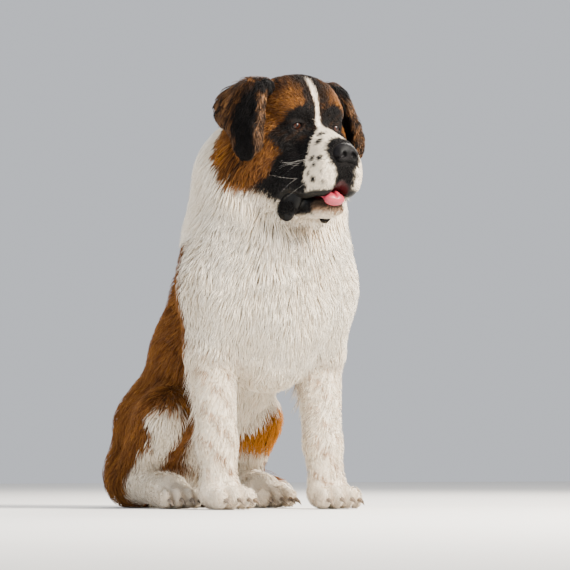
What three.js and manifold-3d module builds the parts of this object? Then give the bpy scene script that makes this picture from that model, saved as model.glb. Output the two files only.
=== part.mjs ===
// A Saint Bernard sitting upright, life size, as a still model.
// Millimetres, +Z up. The dog faces -Y, its left side is +X, and it sits on the floor at z = 0.
// Its flesh and coat are one blended form, meshed node by node and parted with thin cuts.
import * as THREE from 'three';
import { edgeTable, triTable } from 'three/addons/objects/MarchingCubes.js';
import Module from 'manifold-3d';

const wasm = await Module();
wasm.setup();

// Driving dimensions
const gap = 0.3;              // between nodes that meet
const skullHeight = 790;      // middle of the brain case above the floor
const chestHeight = 480;      // middle of the chest
const chestHalfWidth = 178;   // over the coat
const eyeRadius = 13;
const clawLength = 19;
const centring = [-33, 41, 0]; // brings the middle of the whole box to the origin

// Where the main joints of the skeleton lie. Right is the dog's own right, at -X.
const at = {
  chest: [0, -150, chestHeight],
  rump: [-20, 150, 150],
  skull: [0, -265, skullHeight],
  shoulder: { right: [-122, -160, 470], left: [122, -165, 470] },
  elbow: { right: [-126, -150, 335], left: [124, -158, 335] },
  wrist: { right: [-126, -176, 135], left: [117, -192, 135] },
  forefoot: { right: [-127, -190, 0], left: [118, -212, 0] },
  hip: { right: [-104, 150, 165], left: [60, 150, 165] },
  knee: { right: [-150, 0, 190], left: [84, 35, 186] },
  hock: { right: [-166, 120, 52], left: [98, 128, 52] },
  hindfoot: { right: [-154, -38, 0], left: [84, -12, 0] },
};
const headTurn = { yaw: THREE.MathUtils.degToRad(5), pitch: THREE.MathUtils.degToRad(6) };
const sides = [['right', -1], ['left', 1]];

const materials = {
  tan: { color: 0x8a4a1c, roughness: 0.85 },
  white: { color: 0xece5d8, roughness: 0.9 },
  mask: { color: 0x2a1a12, roughness: 0.85 },
  nose: { color: 0x141214, roughness: 0.45 },
  tongue: { color: 0xd9707c, roughness: 0.4 },
  eye: { color: 0x4a1f10, roughness: 0.1 },
  claw: { color: 0x3a3230, roughness: 0.5 },
};
const paint = Object.fromEntries(Object.entries(materials).map(([name, look]) =>
  [name, new THREE.MeshStandardMaterial({ ...look, metalness: 0 })]));

// Masses: each is a rounded form with a distance to its surface and the width over which it blends in.
const clamp01 = (t) => Math.min(1, Math.max(0, t));

function ellipsoid(centre, radii, blend, turn = [0, 0, 0]) {
  const [cx, cy, cz] = centre;
  const [rx, ry, rz] = radii;
  const m = new THREE.Matrix4().makeRotationFromEuler(
    new THREE.Euler(...turn.map(THREE.MathUtils.degToRad), 'ZYX')).elements;
  const reach = Math.max(rx, ry, rz);
  const distance = (x, y, z) => {
    const dx = x - cx, dy = y - cy, dz = z - cz;
    const u = m[0] * dx + m[1] * dy + m[2] * dz;
    const v = m[4] * dx + m[5] * dy + m[6] * dz;
    const w = m[8] * dx + m[9] * dy + m[10] * dz;
    const near = Math.hypot(u / rx, v / ry, w / rz);
    const slope = Math.hypot(u / rx ** 2, v / ry ** 2, w / rz ** 2) || 1e-9;
    return near * (near - 1) / slope;
  };
  const bound = (x, y, z) => Math.hypot(x - cx, y - cy, z - cz) - reach;
  return { distance, bound, blend };
}

// A limb tapers from radius ra at a to rb at b; wide stretches it sideways.
function limb(a, ra, b, rb, blend, wide = 1) {
  const ax = a[0] / wide, bx = b[0] / wide;
  const d = [bx - ax, b[1] - a[1], b[2] - a[2]];
  const length2 = d[0] ** 2 + d[1] ** 2 + d[2] ** 2;
  const distance = (x, y, z) => {
    const px = x / wide - ax, py = y - a[1], pz = z - a[2];
    const t = clamp01((px * d[0] + py * d[1] + pz * d[2]) / length2);
    return Math.hypot(px - t * d[0], py - t * d[1], pz - t * d[2]) - (ra + t * (rb - ra));
  };
  const middle = [0, 1, 2].map((i) => (a[i] + b[i]) / 2);
  const reach = Math.hypot(b[0] - a[0], b[1] - a[1], b[2] - a[2]) / 2 + Math.max(ra, rb) * Math.max(1, wide);
  const bound = (x, y, z) => Math.hypot(x - middle[0], y - middle[1], z - middle[2]) - reach;
  return { distance, bound, blend };
}

const hollow = (mass) => ({ ...mass, hollow: true });
const mirrored = ([x, y, z], side) => [x * side, y, z];
const bothSides = (make) => sides.flatMap(([, side]) => make(side));

// One field from many masses: negative inside. Hollows are cut out with the same soft blend.
function blended(masses) {
  return (x, y, z) => {
    let d = 1e3;
    for (const mass of masses) {
      const k = mass.blend;
      if (mass.hollow) {
        if (mass.bound(x, y, z) > k - d) continue;
        const cut = -mass.distance(x, y, z);
        const h = Math.max(k - Math.abs(d - cut), 0) / k;
        d = Math.max(d, cut) + h * h * k / 4;
      } else {
        if (mass.bound(x, y, z) > d + k) continue;
        const grown = mass.distance(x, y, z);
        const h = Math.max(k - Math.abs(d - grown), 0) / k;
        d = Math.min(d, grown) - h * h * k / 4;
      }
    }
    return d;
  };
}

function trunkMasses() {
  const { chest, rump } = at;
  return [
    ellipsoid([0, -160, chestHeight], [chestHalfWidth - 6, 140, 170], 50, [-8, 0, 0]),
    limb([3, -112, 460], 137, [-11, 25, 318], 134, 60),
    limb([0, -110, 610], 84, [-4, 10, 460], 92, 60, 1.15),
    limb([-12, 25, 318], 132, [-20, 100, 215], 128, 50),
    ellipsoid(rump, [142, 118, 157], 50),
    ellipsoid([-120, 160, 72], [82, 92, 78], 50),
    ellipsoid([84, 162, 70], [72, 90, 76], 50),
    ellipsoid([0, -165, 345], [106, 96, 106], 40),
    ellipsoid([0, -255, 475], [92, 50, 130], 60),
    ...sides.map(([, side]) => ellipsoid([side * 112, chest[1] - 12, 470], [70, 92, 145], 40)),
    ...sides.map(([name]) => limb(at.hip[name], 88, at.knee[name], 58, 34, 0.92)),
  ];
}

function neckMasses() {
  return [
    limb([6, -142, 575], 158, [6, -178, 685], 153, 45),
    limb([6, -178, 685], 150, [4, -212, 760], 106, 40),
  ];
}

function foreleg(name) {
  return [
    limb(at.shoulder[name], 78, at.elbow[name], 56, 36),
    limb(at.elbow[name], 54, at.wrist[name], 41, 26),
    limb(at.wrist[name], 41, [at.forefoot[name][0], at.forefoot[name][1] + 6, 52], 40, 20),
  ];
}

function hindleg(name) {
  const { [name]: knee } = at.knee, { [name]: hock } = at.hock, { [name]: foot } = at.hindfoot;
  return [
    limb(knee, 60, hock, 42, 28),
    limb(hock, 38, [foot[0], foot[1] + 20, 40], 38, 22, 1.1),
  ];
}

// The tail lies on the floor and curls round the dog's left side.
const tailPath = [[[-18, 246, 80], 46], [[15, 300, 56], 51], [[84, 322, 50], 52], [[160, 304, 47], 48],
  [[222, 258, 41], 40], [[252, 200, 32], 26]];
function tailMasses(extra = 0) {
  return tailPath.slice(1).map(([to, r1], i) => {
    const [from, r0] = tailPath[i];
    return limb(from, r0 + extra, to, r1 + extra, 16);
  });
}

// A paw points along -Y: a pad with four arched toes, the middle two furthest forward.
const toeRows = [[-1.5, 8, 0.92], [-0.5, 0, 1], [0.5, 0, 1], [1.5, 8, 0.92]];
function paw(foot, scale, yaw) {
  const turned = (dx, dy, z) => {
    const c = Math.cos(yaw), s = Math.sin(yaw);
    return [foot[0] + dx * c - dy * s, foot[1] + dx * s + dy * c, z];
  };
  const turn = [0, 0, THREE.MathUtils.radToDeg(yaw)];
  const masses = [ellipsoid(turned(0, -4 * scale, 27 * scale), [45 * scale, 48 * scale, 32 * scale], 18, turn)];
  for (const [across, back, size] of toeRows) {
    const dx = across * 23 * scale, dy = (-48 + back) * scale;
    masses.push(ellipsoid(turned(dx, dy, 24 * scale * size),
      [14.5 * scale * size, 32 * scale * size, 27 * scale * size], 7, turn));
  }
  return masses;
}
const paws = {
  fore_right: { foot: at.forefoot.right, scale: 1.06, yaw: 0.1 },
  fore_left: { foot: at.forefoot.left, scale: 1.06, yaw: -0.06 },
  hind_right: { foot: at.hindfoot.right, scale: 0.98, yaw: -0.12 },
  hind_left: { foot: at.hindfoot.left, scale: 0.98, yaw: 0.1 },
};

// The head is shaped in its own frame: origin in the middle of the brain case, facing -Y, level.
const eyeAt = [48, -73, -3];
const noseAt = [0, -184, -55];
function headMasses() {
  return [
    ellipsoid([0, 6, 10], [97, 98, 92], 20),
    ellipsoid([0, -38, 40], [74, 54, 56], 30),
    ...bothSides((s) => [
      ellipsoid([s * 41, -66, 25], [34, 27, 25], 20, [0, 0, s * 18]),
      ellipsoid([s * 68, 8, -58], [54, 68, 72], 36),
      limb([s * 58, -52, -38], 27, [s * 86, 18, -26], 36, 26),
    ]),
    hollow(limb([0, -106, 38], 8, [0, -64, 100], 6, 26)),
    limb([0, -78, -31], 37, [0, -166, -52], 26, 24, 1.4),
    ellipsoid([0, -122, -86], [55, 68, 50], 26),
    ...bothSides((s) => [
      ellipsoid([s * 31, -160, -98], [27, 33, 47], 18, [0, 0, s * -10]),
      ellipsoid([s * 42, -116, -110], [24, 48, 42], 20, [0, 0, s * -6]),
      ellipsoid([s * 52, -74, -98], [26, 34, 44], 24),
    ]),
    hollow(limb([0, -214, -84], 4, [0, -198, -126], 5, 8)),
    hollow(ellipsoid([0, -196, -138], [15, 26, 14], 12)),
    ...bothSides((s) => lidMasses(s)),
  ];
}

// Lids: a raised almond round each eye, its opening cut in the middle.
function lidMasses(s) {
  const [ex, ey, ez] = eyeAt;
  return [
    hollow(ellipsoid([s * (ex - 2), ey - 27, ez + 2], [25, 13, 18], 12)),
    ellipsoid([s * ex, ey + 0.5, ez + 1], [20, 16, 17], 8),
    hollow(ellipsoid([s * (ex + 1), ey - 13, ez - 1], [13, 10, 7.5], 3, [0, s * 10, s * 12])),
  ];
}

function jawMasses() {
  return [
    limb([0, -10, -150], 44, [0, -126, -162], 25, 26, 1.2),
    ellipsoid([0, -146, -166], [30, 24, 17], 16),
    ...bothSides((s) => [ellipsoid([s * 47, -80, -160], [12, 30, 37], 12, [8, 0, s * -8])]),
  ];
}

function throatMasses() {
  return [
    limb([0, 20, -120], 84, [0, 80, -165], 100, 50, 1.15),
    limb([0, 45, -40], 92, [0, 90, -110], 104, 60, 1.1),
  ];
}

function noseMasses() {
  const [, ny, nz] = noseAt;
  return [
    ellipsoid([0, ny + 2, nz + 2], [27, 17, 20], 8),
    ...bothSides((s) => [ellipsoid([s * 14, ny - 3, nz - 3], [14, 14, 14], 6)]),
    ...bothSides((s) => [
      hollow(ellipsoid([s * 11, ny - 17, nz - 2], [5.5, 9, 6.5], 3)),
      hollow(limb([s * 14, ny - 14, nz - 5], 3, [s * 28, ny - 4, nz - 9], 2.5, 3)),
    ]),
    hollow(limb([0, ny - 19, nz + 4], 2, [0, ny - 14, nz - 22], 2.5, 3)),
  ];
}

function tongueMasses() {
  return [
    limb([0, -90, -138], 18, [-3, -158, -140], 20, 8, 1.15),
    ellipsoid([-5, -168, -146], [24, 16, 17], 10),
    hollow(limb([0, -90, -118], 3, [-4, -172, -124], 3, 6)),
  ];
}

// An ear: a raised fold at its root, then a flap that hangs with its front edge turned to the cheek.
function earMasses(s) {
  return [
    ellipsoid([s * 86, 6, 68], [30, 48, 24], 16, [0, s * 30, s * 10]),
    limb([s * 100, 0, 62], 24, [s * 124, -2, -20], 20, 18),
    ellipsoid([s * 118, 24, 30], [22, 74, 52], 16, [0, s * -16, s * -4]),
    ellipsoid([s * 122, -10, -34], [17, 50, 48], 16, [0, s * 4, s * 12]),
    hollow(ellipsoid([s * 97, -40, 12], [10, 24, 46], 10, [0, s * -16, s * 14])),
  ];
}

// Meshing: a field sampled on a grid of cubes becomes a closed surface.
const cornerSteps = [[0, 0, 0], [1, 0, 0], [1, 1, 0], [0, 1, 0], [0, 0, 1], [1, 0, 1], [1, 1, 1], [0, 1, 1]];
const edgeEnds = [[0, 1], [1, 2], [3, 2], [0, 3], [4, 5], [5, 6], [7, 6], [4, 7], [0, 4], [1, 5], [2, 6], [3, 7]];

function surfaceOf(field, low, high, cell) {
  const count = low.map((v, i) => Math.ceil((high[i] - v) / cell) + 1);
  const index = (i, j, k) => (k * count[1] + j) * count[0] + i;
  const values = new Float32Array(count[0] * count[1] * count[2]);
  for (let k = 0; k < count[2]; k++) {
    for (let j = 0; j < count[1]; j++) {
      for (let i = 0; i < count[0]; i++) {
        const rim = i === 0 || j === 0 || k === 0 || i === count[0] - 1 || j === count[1] - 1 || k === count[2] - 1;
        const d = field(low[0] + i * cell, low[1] + j * cell, low[2] + k * cell);
        values[index(i, j, k)] = rim ? Math.max(d, 0.2 * cell) : d || 1e-6;
      }
    }
  }
  const points = [], faces = [], made = new Map();
  const crossing = (i, j, k, edge) => {
    const [a, b] = edgeEnds[edge].map((c) => cornerSteps[c].map((step, axis) => [i, j, k][axis] + step));
    const ia = index(...a), key = ia * 3 + a.findIndex((v, axis) => v !== b[axis]);
    if (!made.has(key)) {
      const va = values[ia], vb = values[index(...b)];
      const t = Math.min(0.95, Math.max(0.05, va / (va - vb)));
      made.set(key, points.length);
      points.push(low.map((v, axis) => v + cell * (a[axis] + t * (b[axis] - a[axis]))));
    }
    return made.get(key);
  };
  for (let k = 0; k < count[2] - 1; k++) {
    for (let j = 0; j < count[1] - 1; j++) {
      for (let i = 0; i < count[0] - 1; i++) {
        let kind = 0;
        cornerSteps.forEach(([di, dj, dk], c) => {
          if (values[index(i + di, j + dj, k + dk)] < 0) kind |= 1 << c;
        });
        if (!edgeTable[kind]) continue;
        for (let n = kind * 16; triTable[n] !== -1; n += 3) {
          faces.push([crossing(i, j, k, triTable[n]), crossing(i, j, k, triTable[n + 2]),
            crossing(i, j, k, triTable[n + 1])]);
        }
      }
    }
  }
  return { points, faces };
}

// Thinning: the edges that change the shape least are collapsed until few enough triangles are left.
function planeOf(p, q, r) {
  const u = [q[0] - p[0], q[1] - p[1], q[2] - p[2]], v = [r[0] - p[0], r[1] - p[1], r[2] - p[2]];
  const n = [u[1] * v[2] - u[2] * v[1], u[2] * v[0] - u[0] * v[2], u[0] * v[1] - u[1] * v[0]];
  const area = Math.hypot(...n) || 1e-12;
  return [n[0] / area, n[1] / area, n[2] / area, -(n[0] * p[0] + n[1] * p[1] + n[2] * p[2]) / area, area];
}

function errorAt(q, [x, y, z]) {
  return q[0] * x * x + 2 * q[1] * x * y + 2 * q[2] * x * z + 2 * q[3] * x + q[4] * y * y
    + 2 * q[5] * y * z + 2 * q[6] * y + q[7] * z * z + 2 * q[8] * z + q[9];
}

const edgeWeight = 0.02;      // makes short edges go first
const sliver = 0.02;          // twice the area of a triangle too thin to have a side

function thinned({ points, faces }, target, limit = Infinity, least = 0.05) {
  const quadrics = points.map(() => new Float64Array(10));
  const around = points.map(() => new Set());
  const stamp = new Int32Array(points.length);
  faces.forEach((face, f) => {
    const [a, b, c, d, area] = planeOf(...face.map((v) => points[v]));
    const terms = [a * a, a * b, a * c, a * d, b * b, b * c, b * d, c * c, c * d, d * d];
    for (const v of face) {
      around[v].add(f);
      terms.forEach((term, i) => { quadrics[v][i] += term * area; });
    }
  });
  const heap = [];
  const swap = (i, j) => { [heap[i], heap[j]] = [heap[j], heap[i]]; };
  const push = (item) => {
    let i = heap.push(item) - 1;
    while (i > 0 && heap[(i - 1) >> 1].cost > heap[i].cost) {
      swap(i, (i - 1) >> 1);
      i = (i - 1) >> 1;
    }
  };
  const pop = () => {
    const top = heap[0], last = heap.pop();
    if (heap.length) {
      heap[0] = last;
      for (let i = 0, next; (next = 2 * i + 1) < heap.length; i = next) {
        if (next + 1 < heap.length && heap[next + 1].cost < heap[next].cost) next++;
        if (heap[i].cost <= heap[next].cost) break;
        swap(i, next);
      }
    }
    return top;
  };
  const neighbours = (v) => new Set([...around[v]].flatMap((f) => faces[f]).filter((w) => w !== v));
  const offer = (a, b) => {
    const q = quadrics[a].map((value, i) => value + quadrics[b][i]);
    const choices = [0, 0.25, 0.5, 0.75, 1].map((t) => points[a].map((v, i) => v + t * (points[b][i] - v)));
    const costs = choices.map((p) => errorAt(q, p));
    const best = costs.indexOf(Math.min(...costs));
    const length2 = points[a].reduce((sum, v, i) => sum + (v - points[b][i]) ** 2, 0);
    push({ cost: costs[best] + length2 * edgeWeight, a, b, place: choices[best], sa: stamp[a], sb: stamp[b] });
  };
  points.forEach((_, v) => neighbours(v).forEach((w) => { if (v < w) offer(v, w); }));
  let left = faces.length;
  const flips = (v, other, place) => [...around[v]].some((f) => {
    if (faces[f].includes(other)) return false;
    const was = planeOf(...faces[f].map((w) => points[w]));
    if (was[4] < sliver) return false;
    const now = planeOf(...faces[f].map((w) => (w === v ? place : points[w])));
    return was[0] * now[0] + was[1] * now[1] + was[2] * now[2] < 0.35 || now[4] < least;
  });
  while (left > target && heap.length) {
    const { cost, a, b, place, sa, sb } = pop();
    if (cost > limit) break;
    if (stamp[a] !== sa || stamp[b] !== sb) continue;
    const near = neighbours(b), shared = [...neighbours(a)].filter((v) => near.has(v));
    if (shared.length !== 2 || flips(a, b, place) || flips(b, a, place)) continue;
    for (const f of [...around[b]]) {
      if (faces[f].includes(a)) {
        faces[f].forEach((v) => around[v].delete(f));
        faces[f] = null;
        left--;
      } else {
        faces[f] = faces[f].map((v) => (v === b ? a : v));
        around[a].add(f);
      }
    }
    points[a] = place;
    quadrics[b].forEach((value, i) => { quadrics[a][i] += value; });
    around[b].clear();
    stamp[a]++;
    stamp[b] = -1;
    neighbours(a).forEach((v) => offer(a, v));
  }
  return { points, faces: faces.filter(Boolean) };
}

// Solids for cutting and joining
function solidOf({ points, faces }) {
  const used = new Map();
  faces.flat().forEach((v) => { if (!used.has(v)) used.set(v, used.size); });
  const vertProperties = new Float32Array(used.size * 3);
  used.forEach((to, from) => vertProperties.set(points[from], to * 3));
  const triVerts = new Uint32Array(faces.flat().map((v) => used.get(v)));
  return new wasm.Manifold(new wasm.Mesh({ numProp: 3, vertProperties, triVerts }));
}

function solidOfGeometry(geometry) {
  const position = geometry.getAttribute('position');
  const keys = new Map(), points = [], order = [];
  for (let i = 0; i < position.count; i++) {
    const p = [position.getX(i), position.getY(i), position.getZ(i)];
    const key = p.map((v) => Math.round(v * 1e3)).join();
    if (!keys.has(key)) keys.set(key, points.push(p) - 1);
    order.push(keys.get(key));
  }
  const index = geometry.index ? [...geometry.index.array] : order.map((_, i) => i);
  const faces = [];
  for (let i = 0; i < index.length; i += 3) {
    const face = [order[index[i]], order[index[i + 1]], order[index[i + 2]]];
    if (new Set(face).size === 3) faces.push(face);
  }
  return solidOf({ points, faces });
}

function block(low, high) {
  const size = high.map((v, i) => v - low[i]);
  return solidOfGeometry(new THREE.BoxGeometry(...size)
    .translate(...low.map((v, i) => v + size[i] / 2)));
}

// A half of space: everything on the side of the plane that its normal points away from.
const far = 1500;
function behindPlane(point, normal) {
  const n = new THREE.Vector3(...normal).normalize();
  const turn = new THREE.Quaternion().setFromUnitVectors(new THREE.Vector3(0, 0, 1), n);
  return solidOfGeometry(new THREE.BoxGeometry(2 * far, 2 * far, far)
    .translate(0, 0, -far / 2).applyQuaternion(turn).translate(...point));
}

function largest(solid) {
  return solid.decompose().sort((a, b) => b.volume() - a.volume())[0];
}

// Cuts leave a few edges too short to write down exactly, and they are closed up.
const shortEdge = 0.25;
function tidied(solid) {
  const { vertProperties, triVerts } = solid.getMesh();
  const points = [], faces = [];
  for (let i = 0; i < vertProperties.length; i += 3) points.push([...vertProperties.slice(i, i + 3)]);
  for (let i = 0; i < triVerts.length; i += 3) faces.push([...triVerts.slice(i, i + 3)]);
  return solidOf(thinned({ points, faces }, 0, edgeWeight * shortEdge ** 2, 1e-6));
}

function meshOf(name, solid, material) {
  const { vertProperties, triVerts } = tidied(largest(solid)).getMesh();
  const geometry = new THREE.BufferGeometry();
  geometry.setAttribute('position', new THREE.BufferAttribute(new Float32Array(vertProperties), 3));
  geometry.setIndex(new THREE.BufferAttribute(new Uint32Array(triVerts), 1));
  geometry.computeVertexNormals();
  const mesh = new THREE.Mesh(geometry, material);
  mesh.name = name;
  return mesh;
}

const dog = new THREE.Group();
dog.position.set(...centring);
const head = new THREE.Group();
head.position.set(...at.skull);
head.rotation.set(headTurn.pitch, 0, headTurn.yaw, 'ZYX');
head.updateMatrix();
dog.add(head);

const toWorld = head.matrix.elements;
const toHead = head.matrix.clone().invert().elements;
const moved = (m, x, y, z) => [
  m[0] * x + m[4] * y + m[8] * z + m[12],
  m[1] * x + m[5] * y + m[9] * z + m[13],
  m[2] * x + m[6] * y + m[10] * z + m[14],
];

const floor = block([-far, -far, 0], [far, far, far]);
const bodyField = blended([...trunkMasses(), ...neckMasses(),
  ...sides.flatMap(([name]) => [...foreleg(name), ...hindleg(name)]), ...tailMasses(),
  ...Object.values(paws).flatMap(({ foot, scale, yaw }) => paw(foot, scale, yaw))]);

function addNode(parent, name, solid, material) {
  parent.add(meshOf(name, solid, material));
}

// A solid whose surface is moved out along its vertex normals, to cut a neighbour clear of it.
function grown(solid, by) {
  const mesh = solid.getMesh();
  const geometry = new THREE.BufferGeometry();
  const position = new THREE.BufferAttribute(new Float32Array(mesh.vertProperties), 3);
  geometry.setAttribute('position', position);
  geometry.setIndex(new THREE.BufferAttribute(new Uint32Array(mesh.triVerts), 1));
  geometry.computeVertexNormals();
  const normal = geometry.getAttribute('normal');
  const vertProperties = position.array.map((v, i) => v + by * normal.array[i]);
  return new wasm.Manifold(new wasm.Mesh({ numProp: 3, vertProperties, triVerts: mesh.triVerts }));
}

const shaped = (field, low, high, cell, triangles) =>
  solidOf(thinned(surfaceOf(field, low, high, cell), triangles));

function ball(centre, radii, turn = [0, 0, 0]) {
  return solidOfGeometry(new THREE.SphereGeometry(1, 14, 10).scale(...radii)
    .applyMatrix4(new THREE.Matrix4().makeRotationFromEuler(
      new THREE.Euler(...turn.map(THREE.MathUtils.degToRad), 'ZYX'))).translate(...centre));
}

// The outline of the whole dog, out to the tips of its coat: the head's forms blend into the body's.
const neckBlend = 30;
function softMin(a, b, k) {
  const h = Math.max(k - Math.abs(a - b), 0) / k;
  return Math.min(a, b) - h * h * k / 4;
}
const skullBlend = blended([...headMasses(), ...throatMasses()]);
const outline = (x, y, z) => softMin(bodyField(x, y, z), skullBlend(...moved(toHead, x, y, z)), neckBlend);

// Where the coat is long its core lies deeper, and locks reach from it out to the outline.
const lockDepth = 13;
const longCoat = blended([
  ellipsoid([4, -150, 560], [250, 250, 225], 40),
  ellipsoid([4, -120, 720], [200, 130, 120], 40),
  ellipsoid([-20, 190, 100], [260, 130, 110], 40),
  ...sides.map(([name]) => limb([at.elbow[name][0], at.elbow[name][1] + 90, 330], 55,
    [at.wrist[name][0], at.wrist[name][1] + 75, 150], 30, 20)),
  ...tailMasses(40),
]);
const depthAt = (x, y, z) => lockDepth * clamp01(-longCoat(x, y, z) / 30);
const bodyCore = (x, y, z) => bodyField(x, y, z) + depthAt(x, y, z);
const neckCore = (x, y, z) => outline(x, y, z) + depthAt(x, y, z);
const headCore = (x, y, z) => neckCore(...moved(toWorld, x, y, z));

// Where each node ends: the space that belongs to it, widened by a gap when a neighbour is cut clear of it.
const spread = (low, high, by) => block(low.map((v) => v - by), high.map((v) => v + by));
const territories = {
  foreleg_right: (by) => spread([-400, -400, -20], [-60, -84, 332], by),
  foreleg_left: (by) => spread([60, -400, -20], [400, -84, 332], by),
  hindleg_right: (by) => grown(ball([-152, 84, 172], [80, 128, 128], [20, 0, 12]), by)
    .add(spread([-400, -160, -20], [-78, 176, 112], by)),
  hindleg_left: (by) => grown(ball([106, 92, 170], [72, 118, 122], [20, 0, -4]), by)
    .add(spread([40, -160, -20], [176, 176, 112], by)),
  tail: (by) => shaped(blended(tailMasses(9 + by)), [-120, 130, -40], [320, 400, 150], 10, 500)
    .intersect(spread([-400, 280, -20], [500, 700, 300], by).add(spread([70, 190, -20], [500, 281, 300], by))
      .add(spread([184, 100, -20], [500, 191, 300], by))),
};
const napePoint = moved(toWorld, 0, 70, -62);
const napeNormal = new THREE.Vector3(0, 0.76, -0.65).transformDirection(head.matrix).toArray();
const collar = { point: [0, -150, 612], normal: [0, -0.2, 1] };

function apart(solid, ...others) {
  return others.reduce((left, other) => {
    const clear = left.subtract(grown(other, gap));
    return clear.intersect(other).volume() > 1e-3 ? clear.subtract(other) : clear;
  }, solid);
}

// A form swept along a path: a ring of points at each place on it, and a tip at its end.
function swept(path, widths, depths, up, count) {
  const points = [], faces = [], rings = path.length - 1;
  for (let i = 0; i < rings; i++) {
    const along = new THREE.Vector3().subVectors(path[i + 1], path[Math.max(i - 1, 0)]).normalize();
    const across = new THREE.Vector3().crossVectors(up, along).normalize();
    const out = new THREE.Vector3().crossVectors(along, across);
    for (let j = 0; j < count; j++) {
      const angle = Math.PI / 2 + (2 * Math.PI * j) / count;
      points.push(path[i].clone().addScaledVector(across, widths[i] * Math.cos(angle))
        .addScaledVector(out, depths[i] * Math.sin(angle)).toArray());
      const next = (j + 1) % count, low = i * count, high = low + count;
      if (i === rings - 1) faces.push([low + j, low + next, rings * count]);
      else faces.push([low + j, low + next, high + next], [low + j, high + next, high + j]);
      if (i === 0 && j > 0 && j < count - 1) faces.push([0, j + 1, j]);
    }
  }
  points.push(path[rings].toArray());
  return solidOf({ points, faces });
}

// Locks: each is flat and tapered, sunk in the core at its root, and follows its lie out to the outline.
function seeded(seed) {
  let state = seed;
  return () => {
    state = (state * 1664525 + 1013904223) % 4294967296;
    return state / 4294967296;
  };
}
const random = seeded(7);
const varied = (amount) => 1 + amount * (2 * random() - 1);
const lockSteps = [0.3, 0.34, 0.36];
const lockSink = 26;          // how deep a root lies under the outline
const lockHeights = [-2, 0, 1];
const lockWidths = [0.85, 1, 0.7];
const lockThickness = [8, 7, 6];
const lockFaces = 3;         // two sloping faces outside and a flat one beneath

function normalAt(field, p) {
  const e = 2;
  return new THREE.Vector3(field(p.x + e, p.y, p.z) - field(p.x - e, p.y, p.z),
    field(p.x, p.y + e, p.z) - field(p.x, p.y - e, p.z),
    field(p.x, p.y, p.z + e) - field(p.x, p.y, p.z - e)).normalize();
}

// Moves a point until it stands at a height over the outline.
function settled(field, point, height) {
  const p = point.clone();
  for (let i = 0; i < 4; i++) {
    p.addScaledVector(normalAt(field, p), height - field(p.x, p.y, p.z));
  }
  return p;
}

// From a point inside the dog, the first place along a direction where the outline is reached.
function rootFrom(field, from, direction) {
  const p = new THREE.Vector3(...from);
  const step = new THREE.Vector3(...direction).normalize();
  for (let i = 0; i < 200 && field(p.x, p.y, p.z) < 0; i++) p.addScaledVector(step, 3);
  return p;
}

function lock(field, root, lie, { length, width, free = 0, sink = lockSink }) {
  const long = length * varied(0.18), wide = width * varied(0.12);
  const path = [settled(field, root, -sink)];
  const up = normalAt(field, root);
  const sway = new THREE.Vector3(...lie).normalize().cross(up).multiplyScalar(0.28 * (2 * random() - 1));
  lockSteps.forEach((part, i) => {
    const last = path[i], n = normalAt(field, last);
    const along = new THREE.Vector3(...lie).normalize().addScaledVector(sway, i);
    along.addScaledVector(n, -along.dot(n) * (1 - free)).normalize();
    const next = last.clone().addScaledVector(along, part * long);
    path.push(settled(field, next, lockHeights[i] + free * 22 * i));
  });
  return swept(path, lockWidths.map((w) => w * wide), lockThickness, up, lockFaces);
}

// A tier of locks round an axis point: angles in degrees from the dog's left, 90 at its back.
function tier(field, centre, [from, to, count], lie, size) {
  return Array.from({ length: count }, (_, i) => {
    const angle = THREE.MathUtils.degToRad(from + ((to - from) * (i + 0.5 + 0.3 * (random() - 0.5))) / count);
    const out = [Math.cos(angle), Math.sin(angle), 0];
    return lock(field, rootFrom(field, centre, out), lie(out), size);
  });
}

const joined = (solid, locks) => locks.reduce((whole, piece) => whole.add(piece), solid);

// A claw curves down as it leaves its toe.
const clawSteps = [-0.35, 0.1, 0.55, 1];
const clawRadii = [5.2, 5, 3.4];
const clawCount = 6;
function claw({ foot, scale, yaw }, [across, back, size]) {
  const c = Math.cos(yaw), s = Math.sin(yaw);
  const place = (dx, dy, z) => new THREE.Vector3(foot[0] + dx * c - dy * s, foot[1] + dx * s + dy * c, z);
  const rootY = (-48 + back - 29 * size) * scale;
  const path = clawSteps.map((t) => place(across * 23 * scale, rootY - t * clawLength,
    20 * scale * size - 3 * t - 9 * t ** 2));
  return swept(path, clawRadii.map((r) => r * 0.8), clawRadii, new THREE.Vector3(0, 0, 1), clawCount);
}

function addPaw(name, solid) {
  const claws = toeRows.map((row) => claw(paws[name], row));
  addNode(dog, `${name.replace('_', 'paw_')}`, apart(solid, ...claws), paint.white);
  claws.forEach((piece, i) => addNode(dog, `claw_${name}_${i + 1}`, piece, paint.claw));
}

// The feather behind a foreleg: a narrow row of locks that hang free.
function featherLocks(name) {
  const elbow = at.elbow[name], wrist = at.wrist[name];
  return Array.from({ length: featherCount }, (_, i) => {
    const t = (i + 0.4) / featherCount;
    const from = [0, 1, 2].map((axis) => elbow[axis] + t * (wrist[axis] - elbow[axis]));
    const aside = i % 2 ? 0.3 : -0.3;
    return lock(bodyField, rootFrom(bodyField, from, [aside, 1, 0]), [aside * 0.2, 0.8, -1],
      { length: 96 - 36 * t, width: 17, free: 0.5 });
  });
}

// Breeches: locks down the back and outside of a thigh.
function breechLocks(name, side) {
  return Array.from({ length: breechCount }, (_, i) => {
    const angle = THREE.MathUtils.degToRad(14 + 62 * ((i % 3) + 0.3 * random()) / 3);
    const height = i < 3 ? 190 : 112;
    const from = [at.hip[name][0] * 0.8, 130, height];
    return lock(bodyField, rootFrom(bodyField, from, [side * Math.cos(angle), Math.sin(angle), 0]),
      [side * 0.15, 0.25, -1], { length: 88, width: 28 });
  });
}

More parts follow.
